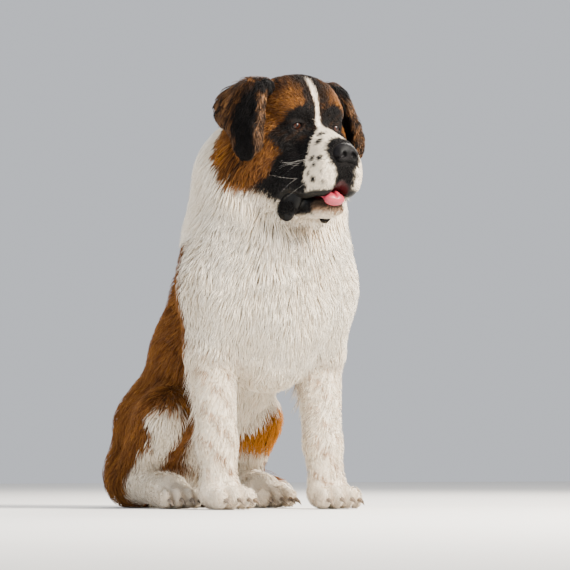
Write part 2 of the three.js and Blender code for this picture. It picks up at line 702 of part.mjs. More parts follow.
// The plume of the tail: at each place on its path one lock on either side and one on top.
function plumeLocks() {
  return tailPath.slice(0, -1).flatMap(([place], i) => {
    const next = new THREE.Vector3(...tailPath[i + 1][0]);
    const along = next.clone().sub(new THREE.Vector3(...place)).normalize();
    const aside = new THREE.Vector3(0, 0, 1).cross(along);
    return [-1, 0, 1].map((s) => {
      const out = aside.clone().multiplyScalar(s).add(new THREE.Vector3(0, 0, s ? 0.35 : 1));
      const lie = along.clone().addScaledVector(aside, 0.3 * s).toArray();
      const from = new THREE.Vector3(...place).addScaledVector(along, 40 * (0.3 + 0.4 * random())).toArray();
      return lock(bodyField, rootFrom(bodyField, from, out.toArray()), lie, { length: 84, width: 23 });
    });
  });
}

// The cheek ruff, in the head's frame: two rows that fan from below the ear to under the jaw.
function cheekLocks(side) {
  return Array.from({ length: cheekCount }, (_, i) => {
    const row = i % 2, t = (i - row) / (cheekCount - 2);
    const out = [side, 0.5 - 0.9 * t - 0.15 * row, -0.15 - 1.05 * t - 0.25 * row];
    return lock(headOutline, rootFrom(headOutline, [0, 20, -60], out), [side * 0.15, 0.45, -1],
      { length: 78, width: 21 });
  });
}

// Long hair on the back edge and the upper half of an ear.
function earLocks(field, side) {
  return Array.from({ length: earLockCount }, (_, i) => {
    const t = i / (earLockCount - 1);
    return lock(field, rootFrom(field, [side * 118, 24, 22], [side * 0.25, 1, 0.8 - 1.7 * t]),
      [side * 0.1, 0.3, -1], { length: 50, width: 14, sink: 9 });
  });
}

const featherCount = 6;
const breechCount = 6;
const cheekCount = 8;
const earLockCount = 5;
const downBack = ([x, y]) => [0.2 * x, 0.2 + 0.15 * y, -1];
const downFront = ([x]) => [0.14 * x, -0.1, -1];
const headOutline = (x, y, z) => outline(...moved(toWorld, x, y, z));

// Legs and paws
const ankleHeight = 84;
const heelLength = 62;
const heelHeight = 96;
const legSolids = [];
for (const [name, side] of sides) {
  const [fx, fy] = at.forefoot[name], [hx, hy] = at.hindfoot[name];
  const own = territories[`foreleg_${name}`](0).intersect(floor);
  const below = (height, y = far) => block([-far, -far, -far], [far, y, height]);
  const shaft = shaped(bodyCore, [fx - 110, fy - 110, -12], [fx + 110, fy + 160, 344], 9, 520)
    .intersect(own).subtract(below(ankleHeight + gap));
  const foreleg = joined(shaft, featherLocks(name)).subtract(below(ankleHeight + gap));
  addNode(dog, `foreleg_${name}`, foreleg, paint.white);
  addPaw(`fore_${name}`, shaped(bodyCore, [fx - 80, fy - 110, -12], [fx + 80, fy + 110, 100], 6.5, 320)
    .intersect(own).intersect(below(ankleHeight)));

  const hindOwn = territories[`hindleg_${name}`](0).intersect(floor);
  const heel = hy + heelLength;
  const thigh = shaped(bodyCore, [hx - 150, -140, -12], [hx + 150, 330, 330], 11, 520)
    .intersect(hindOwn).subtract(below(heelHeight + gap, heel + gap));
  addNode(dog, `hindleg_${name}`, thigh, paint.tan);
  addPaw(`hind_${name}`, shaped(bodyCore, [hx - 80, hy - 110, -12], [hx + 80, hy + 110, 110], 6.5, 320)
    .intersect(hindOwn).intersect(below(heelHeight, heel)));
  legSolids.push(foreleg, thigh);
}

// Head: the lower jaw and tongue keep clear of the upper head, and the nose and eyes sit in it.
const collarTop = collar.normal.map((v, i) => collar.point[i] + v * gap);
const napeLocal = [0, 70 - gap * 0.76, -62 + gap * 0.65];
const eyeballs = sides.map(([, side]) => ball(mirrored(eyeAt, side), [eyeRadius, eyeRadius, eyeRadius]));
const nose = shaped(blended(noseMasses()), [-45, -220, -100], [45, -140, -10], 3, 360);
const tongue = shaped(blended(tongueMasses()), [-50, -210, -190], [50, -50, -100], 5, 200);
const napeFace = behindPlane(napeLocal, [0, 0.76, -0.65]);
const bareHead = shaped(headCore, [-150, -240, -230], [150, 150, 120], 5.5, 1900)
  .intersect(napeFace).subtract(behindPlane(collarTop, collar.normal).transform(toHead));
const skull = joined(bareHead, sides.flatMap(([, side]) => cheekLocks(side)));
const jaw = shaped(blended(jawMasses()), [-90, -200, -240], [90, 30, -80], 6, 400)
  .intersect(behindPlane([0, -20, 0], [0, 1, 0])).intersect(napeFace);
const upperHead = apart(skull, tongue, nose, ...eyeballs);
const lowerJaw = apart(jaw, upperHead, tongue);
addNode(head, 'head', upperHead, paint.mask);
addNode(head, 'nose', nose, paint.nose);
addNode(head, 'tongue', tongue, paint.tongue);
addNode(head, 'lower_jaw', lowerJaw, paint.mask);
const headSolids = [upperHead, lowerJaw];
sides.forEach(([name, side], i) => {
  addNode(head, `eye_${name}`, eyeballs[i], paint.eye);
  const field = blended(earMasses(side));
  const flap = shaped(field, [Math.min(side * 40, side * 190), -110, -130],
    [Math.max(side * 40, side * 190), 130, 130], 7, 340);
  const ear = apart(joined(flap, earLocks(field, side)), upperHead);
  addNode(head, `ear_${name}`, ear, paint.mask);
  headSolids.push(ear);
});

// Neck, torso and tail: each is cut clear of the locks that hang over it.
const overNeck = headSolids.map((solid) => largest(solid).transform(toWorld));
const bareNeck = shaped(neckCore, [-230, -460, 540], [260, 140, 930], 11, 700)
  .subtract(behindPlane(collarTop, collar.normal))
  .subtract(behindPlane(napePoint, napeNormal));
const neck = apart(joined(bareNeck, [
  ...tier(outline, [4, -196, 800], [30, 150, 5], downBack, { length: 110, width: 29 }),
  ...tier(outline, [4, -186, 740], [-8, 188, 9], downBack, { length: 120, width: 30 }),
  ...tier(outline, [6, -176, 672], [-28, 208, 12], downBack, { length: 128, width: 31 }),
]), ...overNeck);
addNode(dog, 'neck', neck, paint.white);

const bareTorso = Object.values(territories).reduce((left, own) => left.subtract(own(gap)),
  shaped(bodyCore, [-260, -400, -12], [260, 400, 760], 13, 1000)
    .intersect(floor).intersect(behindPlane(collar.point, collar.normal)));
const torso = apart(joined(bareTorso, [
  ...tier(outline, [4, -150, 562], [-154, -26, 6], downFront, { length: 118, width: 29 }),
  ...tier(outline, [4, -150, 478], [-160, -20, 7], downFront, { length: 118, width: 29 }),
  ...tier(outline, [4, -150, 396], [-146, -34, 5], downFront, { length: 104, width: 28, free: 0.2 }),
  ...tier(outline, [4, -120, 566], [18, 162, 5], downBack, { length: 106, width: 30 }),
  ...sides.flatMap(([name, side]) => breechLocks(name, side)),
]), neck, ...overNeck, ...legSolids);

addNode(dog, 'torso', torso, paint.tan);
const bareTail = shaped(bodyCore, [-120, 130, -12], [330, 420, 170], 10, 340)
  .intersect(floor).intersect(territories.tail(0));
addNode(dog, 'tail', apart(joined(bareTail, plumeLocks()).intersect(floor), torso), paint.tan);

export default dog;
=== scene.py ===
# A Saint Bernard sitting upright, life size: skin, coat, eyes, nose, tongue and whiskers.
# The dog is worked out in millimetres in its own frame and moved into the frame's metres at the end.
import bpy
import numpy as np
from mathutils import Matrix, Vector


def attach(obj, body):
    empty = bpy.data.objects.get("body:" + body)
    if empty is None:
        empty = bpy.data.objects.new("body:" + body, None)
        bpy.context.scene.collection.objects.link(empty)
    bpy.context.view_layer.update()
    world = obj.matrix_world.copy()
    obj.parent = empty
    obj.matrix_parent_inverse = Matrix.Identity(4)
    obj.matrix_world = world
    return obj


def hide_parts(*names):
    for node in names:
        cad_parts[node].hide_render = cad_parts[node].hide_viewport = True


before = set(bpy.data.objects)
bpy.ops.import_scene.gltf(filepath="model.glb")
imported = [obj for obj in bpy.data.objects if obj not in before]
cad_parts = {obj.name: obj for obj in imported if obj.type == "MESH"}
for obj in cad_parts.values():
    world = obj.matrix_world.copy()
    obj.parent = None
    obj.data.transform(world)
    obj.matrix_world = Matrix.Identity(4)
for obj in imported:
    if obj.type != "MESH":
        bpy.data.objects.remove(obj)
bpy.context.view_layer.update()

centring = np.array([-33.0, 41.0, 0.0])      # from the dog's own frame to the part's
dice = np.random.default_rng(7)

# Where the main joints lie. Right is the dog's own right, at -X. The dog faces -Y.
rump = [-20, 150, 150]
shoulder = {'right': [-122, -160, 470], 'left': [122, -165, 470]}
elbow = {'right': [-126, -150, 335], 'left': [124, -158, 335]}
wrist = {'right': [-126, -176, 135], 'left': [117, -192, 135]}
forefoot = {'right': [-127, -190, 0], 'left': [118, -212, 0]}
hip = {'right': [-104, 150, 165], 'left': [60, 150, 165]}
knee = {'right': [-150, 0, 190], 'left': [84, 35, 186]}
hock = {'right': [-166, 120, 52], 'left': [98, 128, 52]}
hindfoot = {'right': [-154, -38, 0], 'left': [84, -12, 0]}
sides = {'right': -1, 'left': 1}
skullAt = np.array([0.0, -265.0, 790.0])
headYaw, headPitch = np.radians(5), np.radians(6)


def turnMatrix(a, b, c):
    rx = np.array([[1, 0, 0], [0, np.cos(a), -np.sin(a)], [0, np.sin(a), np.cos(a)]])
    ry = np.array([[np.cos(b), 0, np.sin(b)], [0, 1, 0], [-np.sin(b), 0, np.cos(b)]])
    rz = np.array([[np.cos(c), -np.sin(c), 0], [np.sin(c), np.cos(c), 0], [0, 0, 1]])
    return rz @ ry @ rx


headAxes = turnMatrix(headPitch, 0, headYaw)


def toHead(p):
    return (p - skullAt) @ headAxes


def fromHead(q):
    return q @ headAxes.T + skullAt


def smooth(low, high, value):
    t = np.clip((value - low) / (high - low), 0, 1)
    return t * t * (3 - 2 * t)


def unit(v):
    return v / (np.linalg.norm(v, axis=-1, keepdims=True) + 1e-9)


def waver(p, size, seed):      # a smooth irregular value between about -1 and 1
    total = 0
    for i in range(4):
        way = unit(np.random.default_rng(seed * 10 + i).normal(size=3))
        total = total + np.sin(p @ way * (2 * np.pi / (size * (0.6 + 0.35 * i))) + seed + 2 * i)
    return total / 4


# Masses: rounded forms with a distance to the surface, and how widely each blends in
def ellipsoid(centre, radii, blend, turn=(0, 0, 0)):
    centre, radii = np.array(centre, float), np.array(radii, float)
    axes = turnMatrix(*np.radians(turn))

    def distance(p):
        local = (p - centre) @ axes
        near = np.linalg.norm(local / radii, axis=1)
        slope = np.linalg.norm(local / radii ** 2, axis=1) + 1e-9
        return near * (near - 1) / slope
    return {'distance': distance, 'middle': centre, 'reach': radii.max(), 'blend': blend, 'hollow': False}


def limb(a, ra, b, rb, blend, wide=1):
    a, b, squeeze = np.array(a), np.array(b), np.array([1 / wide, 1, 1])
    start, along = a * squeeze, (b - a) * squeeze

    def distance(p):
        off = p * squeeze - start
        t = np.clip(off @ along / (along @ along), 0, 1)
        return np.linalg.norm(off - t[:, None] * along, axis=1) - (ra + t * (rb - ra))
    reach = np.linalg.norm(b - a) / 2 + max(ra, rb) * max(1, wide)
    return {'distance': distance, 'middle': (a + b) / 2, 'reach': reach, 'blend': blend, 'hollow': False}


def hollow(mass):
    return {**mass, 'hollow': True}


def blended(masses):
    def field(p):
        d = np.full(len(p), 1e3)
        for mass in masses:
            k = mass['blend']
            bound = np.linalg.norm(p - mass['middle'], axis=1) - mass['reach']
            near = np.nonzero(bound <= (k - d if mass['hollow'] else d + k))[0]
            if not len(near):
                continue
            was, found = d[near], mass['distance'](p[near])
            if mass['hollow']:
                h = np.maximum(k - abs(was + found), 0) / k
                d[near] = np.maximum(was, -found) + h * h * k / 4
            else:
                h = np.maximum(k - abs(was - found), 0) / k
                d[near] = np.minimum(was, found) - h * h * k / 4
        return d
    return field


def softMin(a, b, k):
    h = np.maximum(k - abs(a - b), 0) / k
    return np.minimum(a, b) - h * h * k / 4


def trunkMasses():
    return [
        ellipsoid([0, -160, 480], [172, 140, 170], 50, [-8, 0, 0]),
        limb([3, -112, 460], 137, [-11, 25, 318], 134, 60),
        limb([0, -110, 610], 84, [-4, 10, 460], 92, 60, 1.15),
        limb([-12, 25, 318], 132, [-20, 100, 215], 128, 50),
        ellipsoid(rump, [142, 118, 157], 50),
        ellipsoid([-120, 160, 72], [82, 92, 78], 50),
        ellipsoid([84, 162, 70], [72, 90, 76], 50),
        ellipsoid([0, -165, 345], [106, 96, 106], 40),
        ellipsoid([0, -255, 475], [92, 50, 130], 60),
        *[ellipsoid([s * 112, -162, 470], [70, 92, 145], 40) for s in sides.values()],
        *[limb(hip[name], 88, knee[name], 58, 34, 0.92) for name in sides],
        limb([6, -142, 575], 158, [6, -178, 685], 153, 45),
        limb([6, -178, 685], 150, [4, -212, 760], 106, 40),
    ]


def legMasses(name):
    foot, back = forefoot[name], hindfoot[name]
    return [
        limb(shoulder[name], 78, elbow[name], 56, 36),
        limb(elbow[name], 54, wrist[name], 41, 26),
        limb(wrist[name], 41, [foot[0], foot[1] + 6, 52], 40, 20),
        limb(knee[name], 60, hock[name], 42, 28),
        limb(hock[name], 38, [back[0], back[1] + 20, 40], 38, 22, 1.1),
    ]


tailPath = [([-18, 246, 80], 46), ([15, 300, 56], 51), ([84, 322, 50], 52), ([160, 304, 47], 48),
            ([222, 258, 41], 40), ([252, 200, 32], 26)]
tailTip = np.array(tailPath[-1][0])


def tailMasses(extra=0):
    return [limb(a, ra + extra, b, rb + extra, 16) for (a, ra), (b, rb) in zip(tailPath, tailPath[1:])]


# A paw points along -Y: a pad with four arched toes, the middle two furthest forward.
toeRows = [(-1.5, 8, 0.92), (-0.5, 0, 1), (0.5, 0, 1), (1.5, 8, 0.92)]


def pawMasses(foot, scale, yaw):
    c, s = np.cos(yaw), np.sin(yaw)

    def place(dx, dy, z):
        return [foot[0] + dx * c - dy * s, foot[1] + dx * s + dy * c, z]
    turn = [0, 0, np.degrees(yaw)]
    masses = [ellipsoid(place(0, -4 * scale, 27 * scale), [45 * scale, 48 * scale, 32 * scale], 18, turn)]
    for across, back, size in toeRows:
        at = place(across * 23 * scale, (back - 48) * scale, 24 * scale * size)
        masses.append(ellipsoid(at, [14.5 * scale * size, 32 * scale * size, 27 * scale * size], 7, turn))
    return masses


def allPaws():
    return (pawMasses(forefoot['right'], 1.06, 0.1) + pawMasses(forefoot['left'], 1.06, -0.06)
            + pawMasses(hindfoot['right'], 0.98, -0.12) + pawMasses(hindfoot['left'], 0.98, 0.1))


# The head in its own frame: origin in the middle of the brain case, facing -Y.
eyeAt = np.array([48, -73, -3])
noseAt = np.array([0, -184, -55])


def headMasses():
    masses = [ellipsoid([0, 6, 10], [97, 98, 92], 20), ellipsoid([0, -38, 40], [74, 54, 56], 30)]
    for s in sides.values():
        masses += [
            ellipsoid([s * 41, -66, 25], [34, 27, 25], 20, [0, 0, s * 18]),
            ellipsoid([s * 68, 8, -58], [54, 68, 72], 36),
            limb([s * 58, -52, -38], 27, [s * 86, 18, -26], 36, 26),
        ]
    masses += [
        hollow(limb([0, -106, 38], 8, [0, -64, 100], 6, 26)),
        limb([0, -78, -31], 37, [0, -166, -52], 26, 24, 1.4),
        ellipsoid([0, -122, -86], [55, 68, 50], 26),
    ]
    for s in sides.values():
        masses += [
            ellipsoid([s * 31, -160, -98], [27, 33, 47], 18, [0, 0, s * -10]),
            ellipsoid([s * 42, -116, -110], [24, 48, 42], 20, [0, 0, s * -6]),
            ellipsoid([s * 52, -74, -98], [26, 34, 44], 24),
        ]
    masses += [
        hollow(limb([0, -214, -84], 4, [0, -198, -126], 5, 8)),
        hollow(ellipsoid([0, -196, -138], [15, 26, 14], 12)),
    ]
    for s in sides.values():
        masses += lidMasses(s)
    return masses


def lidMasses(s):      # a raised almond round the eye, its opening cut in the middle
    ex, ey, ez = eyeAt
    return [
        hollow(ellipsoid([s * (ex - 2), ey - 27, ez + 2], [25, 13, 18], 12)),
        ellipsoid([s * ex, ey + 0.5, ez + 1], [20, 16, 17], 8),
        limb([s * (ex - 14), ey - 8, ez + 8], 4, [s * (ex + 14), ey - 4, ez + 7], 4.5, 7),
        hollow(ellipsoid([s * (ex + 1), ey - 13, ez - 2], [13, 10, 5.6], 2, [0, s * 14, s * 12])),
        hollow(ellipsoid([s * (ex + 2), ey - 15, ez - 5.5], [6, 8, 4.5], 2)),
    ]


def jawMasses():
    return [
        limb([0, -10, -150], 44, [0, -126, -162], 25, 26, 1.2),
        ellipsoid([0, -146, -166], [30, 24, 17], 16),
        *[mass for s in sides.values() for mass in lipMasses(s)],
    ]


def lipMasses(s):      # the lower lip's hanging pouch, with a shallow fold
    return [
        limb([s * 45, -70, -144], 37, [s * 48, -66, -176], 25, 16, 0.45),
        limb([s * 46, -34, -136], 32, [s * 48, -46, -166], 24, 18, 0.5),
        hollow(limb([s * 62, -94, -146], 2, [s * 57, -78, -192], 2.5, 8)),
    ]


def throatMasses():
    return [
        limb([0, 20, -120], 84, [0, 80, -165], 100, 50, 1.15),
        limb([0, 45, -40], 92, [0, 90, -110], 104, 60, 1.1),
    ]


def noseMasses():
    _, ny, nz = noseAt
    return [
        ellipsoid([0, ny + 2, nz + 2], [27, 17, 20], 8),
        *[ellipsoid([s * 14, ny - 3, nz - 3], [14, 14, 14], 6) for s in sides.values()],
        *[hollow(ellipsoid([s * 11, ny - 17, nz - 2], [5.5, 9, 6.5], 3)) for s in sides.values()],
        *[hollow(limb([s * 14, ny - 14, nz - 5], 3, [s * 28, ny - 4, nz - 9], 2.5, 3))
          for s in sides.values()],
        hollow(limb([0, ny - 19, nz + 4], 2, [0, ny - 14, nz - 22], 2.5, 3)),
    ]


def tongueMasses():
    return [
        ellipsoid([-2, -118, -138], [21, 50, 10], 8, [-3, 0, 0]),
        ellipsoid([-6, -156, -142], [25, 23, 8], 8, [14, 0, 0]),
        ellipsoid([-8, -169, -149], [23, 12, 12], 8, [20, 0, 0]),
        hollow(limb([-1, -90, -126], 2, [-6, -152, -131], 3, 8)),
        hollow(limb([-6, -152, -131], 2.5, [-9, -180, -141], 1.5, 6)),
    ]


def earMasses(s):
    return [
        ellipsoid([s * 86, 6, 68], [30, 48, 24], 16, [0, s * 30, s * 10]),
        limb([s * 100, 0, 62], 24, [s * 124, -2, -20], 20, 18),
        ellipsoid([s * 118, 24, 30], [22, 74, 52], 16, [0, s * -16, s * -4]),
        ellipsoid([s * 126, -18, -34], [17, 53, 48], 16, [0, s * 4, s * 10]),
        hollow(ellipsoid([s * 97, -40, 12], [10, 24, 46], 10, [0, s * -16, s * 14])),
        limb([s * 104, -30, 66], 5, [s * 121, -54, 8], 8, 20),
        limb([s * 121, -54, 8], 8, [s * 124, -60, -50], 9, 16),
    ]


pawField = blended(allPaws())
bodyField = blended(trunkMasses() + [m for name in sides for m in legMasses(name)] + tailMasses() + allPaws())
skullField = blended(headMasses() + throatMasses())
forelegField = blended([m for name in sides for m in legMasses(name)[1:3]])
longCoat = blended([
    ellipsoid([4, -150, 560], [250, 250, 225], 40),
    ellipsoid([4, -120, 720], [200, 130, 120], 40),
    ellipsoid([-20, 190, 100], [260, 130, 110], 40),
    *tailMasses(40),
])


def outline(p):
    return softMin(bodyField(p), skullField(toHead(p)), 30)


def headShare(p):      # 0 on the neck, 1 on the head, in front of the nape and above the collar
    q = toHead(p)
    nape = -(q @ np.array([0, 0.76, -0.65]) - (70 * 0.76 + 62 * 0.65))
    collar = (p - np.array([0, -150, 612])) @ np.array([0, -0.196, 0.98])
    return np.minimum(nape, collar)


# How deep the skin lies under the tips of the coat, in millimetres
coatDepth = {'back': 11, 'longest': 16, 'leg': 7, 'paw': 4,
             'muzzle': 2.2, 'skull': 5, 'cheek': 12, 'lid': 0.8, 'jaw': 2, 'ear': 4}


def bodyDepth(p):
    long = smooth(0, 45, -longCoat(p))
    depth = coatDepth['back'] + (coatDepth['longest'] - coatDepth['back']) * long
    leg = smooth(25, 5, forelegField(p)) * smooth(350, 290, p[:, 2])
    depth += (coatDepth['leg'] - depth) * leg
    paw = smooth(22, 4, pawField(p))
    return depth + (coatDepth['paw'] - depth) * paw


def headDepth(q):
    back, low = smooth(-75, 30, q[:, 1]), smooth(15, -60, q[:, 2])
    top = coatDepth['muzzle'] + (coatDepth['skull'] - coatDepth['muzzle']) * smooth(-110, -50, q[:, 1])
    depth = top + (coatDepth['cheek'] - coatDepth['skull']) * back * low
    return coatDepth['lid'] + (depth - coatDepth['lid']) * smooth(14, 34, fromEye(q))


def eyeOffset(q):      # from the middle of the nearer eye, as if both lay on the left
    return np.stack([abs(q[:, 0]), q[:, 1], q[:, 2]], 1) - eyeAt


def fromEye(q):
    return np.linalg.norm(eyeOffset(q), axis=1)


def depthOf(p):
    share = smooth(-5, 55, headShare(p))
    return bodyDepth(p) * (1 - share) + headDepth(toHead(p)) * share


def skinField(p):
    return np.maximum(outline(p) + depthOf(p), 1.2 - p[:, 2])


def headSkinField(q):
    return skinField(fromHead(q))


# A stored grid of distances, quick to look up for the mesh and for every hair
cubeSteps = np.array([(i, j, k) for i in (0, 1) for j in (0, 1) for k in (0, 1)])


class distanceGrid:
    def __init__(self, field, low, high, cell):
        self.low, self.cell, self.field = np.array(low, float), cell, field
        self.count = np.ceil((np.array(high) - self.low) / cell).astype(int) + 1
        lines = [self.low[i] + cell * np.arange(self.count[i]) for i in range(3)]
        points = np.stack(np.meshgrid(*lines, indexing='ij'), -1).reshape(-1, 3)
        values = field(points).reshape(self.count)
        self.table = np.stack([values, *np.gradient(values, cell)], -1).astype(np.float32)

    def look(self, points):      # distance and outward direction at each point
        g = np.clip((points - self.low) / self.cell, 0, self.count - 1.001)
        i = g.astype(int)
        f = g - i
        total = 0
        for step in cubeSteps:
            weight = np.prod(np.where(step, f, 1 - f), axis=1)
            total = total + weight[:, None] * self.table[tuple((i + step).T)]
        return total[:, 0], unit(total[:, 1:])


def surfaceOf(grid, cell):      # the zero surface as points and quads, one point to each crossed cell
    count = np.floor((grid.count - 1) * grid.cell / cell).astype(int)
    lines = [grid.low[i] + cell * np.arange(count[i]) for i in range(3)]
    points = np.stack(np.meshgrid(*lines, indexing='ij'), -1).reshape(-1, 3)
    values = grid.look(points)[0].astype(float)
    near = abs(values) < 1.7 * grid.cell
    values[near] = grid.field(points[near])
    values = values.reshape(count)
    inside = values < 0

    def corner(array, step):
        i, j, k = step
        return array[i:count[0] - 1 + i, j:count[1] - 1 + j, k:count[2] - 1 + k]
    total = sum(corner(inside, step).astype(np.int8) for step in cubeSteps)
    cells = np.argwhere((total > 0) & (total < 8))
    number = np.full(count - 1, -1)
    number[tuple(cells.T)] = np.arange(len(cells))
    sums, hits = np.zeros((len(cells), 3)), np.zeros(len(cells))
    for a in cubeSteps:
        for axis in range(3):
            if a[axis]:
                continue
            b = a + np.eye(3, dtype=int)[axis]
            va, vb = values[tuple((cells + a).T)], values[tuple((cells + b).T)]
            crossed = (va < 0) != (vb < 0)
            t = va / np.where(crossed, va - vb, 1)
            sums += crossed[:, None] * (a + t[:, None] * (b - a))
            hits += crossed
    made = grid.low + cell * (cells + sums / hits[:, None])
    quads = []
    for axis in range(3):
        u, v = np.eye(3, dtype=int)[(axis + 1) % 3], np.eye(3, dtype=int)[(axis + 2) % 3]
        ends = np.argwhere(np.diff(inside, axis=axis))
        ok = (ends @ u > 0) & (ends @ v > 0) & (ends @ u < count @ u - 1) & (ends @ v < count @ v - 1)
        ends = ends[ok]
        quad = np.stack([number[tuple((ends - s).T)] for s in (0 * u, u, u + v, v)], axis=1)
        away = inside[tuple(ends.T)]
        quad[~away] = quad[~away][:, ::-1]
        quads.append(quad)
    return made, np.concatenate(quads)


def keptPart(points, quads, keep):      # the faces whose points are all kept, with unused points dropped
    quads = quads[keep[quads].all(axis=1)]
    used, again = np.unique(quads, return_inverse=True)
    return points[used], again.reshape(-1, 4)


def normalsOf(points, quads):
    a, b, c, d = (points[quads[:, i]] for i in range(4))
    face = np.cross(c - a, d - b)
    total = np.zeros_like(points)
    for i in range(4):
        np.add.at(total, quads[:, i], face)
    return unit(total)


# Shader nodes: a wire is one output that can be used in a sum, so a formula reads as on paper
class wire:
    def __init__(self, board, socket):
        self.board, self.socket = board, socket

    def math(self, operation, *values):
        return self.board.add('ShaderNodeMath', {'operation': operation}, dict(enumerate(values)))

    def __add__(self, other):
        return self.math('ADD', self, other)

    def __sub__(self, other):
        return self.math('SUBTRACT', self, other)

    def __rsub__(self, other):
        return self.math('SUBTRACT', other, self)

    def __mul__(self, other):
        return self.math('MULTIPLY', self, other)

    def __truediv__(self, other):
        return self.math('DIVIDE', self, other)

    def __rtruediv__(self, other):
        return self.math('DIVIDE', other, self)

    __radd__ = __add__
    __rmul__ = __mul__

    def clamped(self):
        return self.board.add('ShaderNodeClamp', {}, {0: self})


class shaderBoard:
    def __init__(self, name):
        self.material = bpy.data.materials.new(name)
        self.material.use_nodes = True
        self.tree = self.material.node_tree
        self.shader = self.tree.nodes['Principled BSDF']

    def add(self, kind, settings, values, out=0):
        node = self.tree.nodes.new(kind)
        stops = settings.pop('stops', None)
        for key, value in settings.items():
            setattr(node, key, value)
        if stops:
            ramp = node.color_ramp
            while len(ramp.elements) < len(stops):
                ramp.elements.new(0.5)
            for element, (place, colour) in zip(ramp.elements, stops):
                element.position, element.color = place, (*colour, 1)
        for key, value in values.items():
            self.feed(node.inputs[key], value)
        return wire(self, node.outputs[out])

    def feed(self, socket, value):
        if isinstance(value, wire):
            self.tree.links.new(value.socket, socket)
        elif isinstance(value, tuple) and len(value) == 3 and socket.type == 'RGBA':
            socket.default_value = (*value, 1)
        else:
            socket.default_value = value

    def set(self, **values):      # sockets of the shader, by their names with spaces left out
        for socket in self.shader.inputs:
            key = socket.name.replace(' ', '')
            key = key[0].lower() + key[1:]
            if key in values:
                self.feed(socket, values[key])
        return self.material

    def mix(self, factor, a, b):
        return self.add('ShaderNodeMix', {'data_type': 'RGBA'}, {0: factor, 6: a, 7: b}, 2)

    def times(self, colour, shade):      # a colour made lighter or darker by a value
        return self.add('ShaderNodeVectorMath', {'operation': 'SCALE'}, {0: colour, 3: shade})

    def named(self, name):
        return self.add('ShaderNodeAttribute', {'attribute_name': name}, {}, 2)

    def noise(self, scale, detail=2, stretch=None):
        place = self.add('ShaderNodeTexCoord', {}, {}, 3)
        if stretch:
            place = self.add('ShaderNodeMapping', {}, {0: place, 3: stretch})
        return self.add('ShaderNodeTexNoise', {}, {0: place, 'Scale': scale, 'Detail': detail})

    def bump(self, height, distance, strength=1.0):
        return self.add('ShaderNodeBump', {}, {'Height': height, 'Distance': distance, 'Strength': strength})


def rgb(red, green, blue):      # a colour as a screen shows it, made linear
    return tuple(float(v) for v in ((np.array([red, green, blue]) / 255) ** 2.2))


furColours = {
    'white': rgb(253, 248, 238), 'whiteShade': rgb(228, 202, 160), 'amber': rgb(200, 126, 30),
    'gold': rgb(160, 104, 45), 'tan': rgb(103, 62, 28), 'mahogany': rgb(48, 29, 16),
    'black': rgb(10, 8, 8), 'blackTip': rgb(24, 17, 14), 'stain': rgb(156, 116, 82),
    'lip': rgb(7, 6, 7), 'mouth': rgb(46, 9, 12),
}


def furColour(board, tip, tone):      # the same markings on skin and coat
    c = furColours
    patch = board.noise(9, 3)
    shade = ((1 - tip) * 0.6 + tone * 0.25 + patch * 0.3 - 0.1).clamped()
    white = board.mix(shade, c['white'], c['whiteShade'])
    white = board.mix((board.named('stain') * (0.35 + 0.65 * patch)).clamped(), white, c['stain'])
    bright = board.mix((tone * 1.1 + patch * 0.7 - 0.55).clamped(), c['tan'], c['gold'])
    # painted shade: on the coat the tan darkens to mahogany towards the roots of the hair; a low tone, and on
    # the skin a fine noise, add the same dark at random
    deep = ((1 - tip) * 0.75 + (1 - tone) * 0.35 - 0.2).clamped()
    tan = board.mix(deep, bright, c['mahogany'])
    tan = board.mix(board.named('gold') * (0.5 + 0.5 * tip), tan, c['amber'])
    dark = board.mix((tip * tone * 0.6).clamped(), c['black'], c['blackTip'])
    colour = board.mix(board.named('tan'), white, tan)
    return board.mix(board.named('dark'), colour, dark)


hairLook = {'roughness': 0.62, 'sheen': 0.03, 'shine': 0.12, 'strands': 900, 'rootShade': 0.86}


def coatMaterial():
    board = shaderBoard('coat_hair')
    tip, tone = board.named('tip'), board.named('tone')
    shade = hairLook['rootShade'] + (1 - hairLook['rootShade']) * tip
    colour = board.times(furColour(board, tip, tone), shade)
    strand = board.noise(hairLook['strands'], 1)
    return board.set(baseColor=colour, roughness=hairLook['roughness'] + 0.12 * tone,
                     normal=board.bump(strand, 0.0002, 0.4), sheenWeight=hairLook['sheen'],
                     sheenRoughness=0.4, specularIORLevel=hairLook['shine'])


def skinMaterial():
    board = shaderBoard('skin_under_coat')
    fine = board.noise(420, 3)
    # painted shade: the skin is the coat's colour made darker by 0.84, standing in for the shade between the
    # hairs
    colour = board.times(furColour(board, fine, fine), 0.84)
    lip, mouth = board.named('lip'), board.named('mouth')
    colour = board.mix(lip, colour, furColours['lip'])
    colour = board.mix(mouth, colour, furColours['mouth'])
    wet = (lip + mouth).clamped()
    height = fine * (1 - wet) + board.noise(130, 3) * wet
    return board.set(baseColor=colour, roughness=0.8 - 0.4 * wet, coatWeight=0.06 * wet, coatRoughness=0.25,
                     specularIORLevel=0.12, normal=board.bump(height, 0.0012, 0.7))


def noseMaterial():
    board = shaderBoard('nose_leather')
    place = board.add('ShaderNodeTexCoord', {}, {}, 3)
    pebble = board.add('ShaderNodeTexVoronoi', {'feature': 'SMOOTH_F1'}, {0: place, 'Scale': 620})
    dust = board.noise(60, 3)
    colour = board.mix((dust * 1.6 - 0.7).clamped(), rgb(8, 7, 8), rgb(28, 25, 27))
    return board.set(baseColor=colour, roughness=0.44 + 0.25 * dust, specularIORLevel=0.12,
                     normal=board.bump(1 - pebble, 0.0005, 0.6))


def tongueMaterial():
    board = shaderBoard('tongue_flesh')
    grain = board.noise(700, 2)
    blotch = board.noise(45, 2)
    colour = board.mix(blotch, rgb(120, 26, 42), rgb(162, 50, 66))
    return board.set(baseColor=colour, roughness=0.4 + 0.2 * grain, subsurfaceWeight=0.06,
                     coatWeight=0.2, coatRoughness=0.25, normal=board.bump(grain, 0.0006, 0.6))


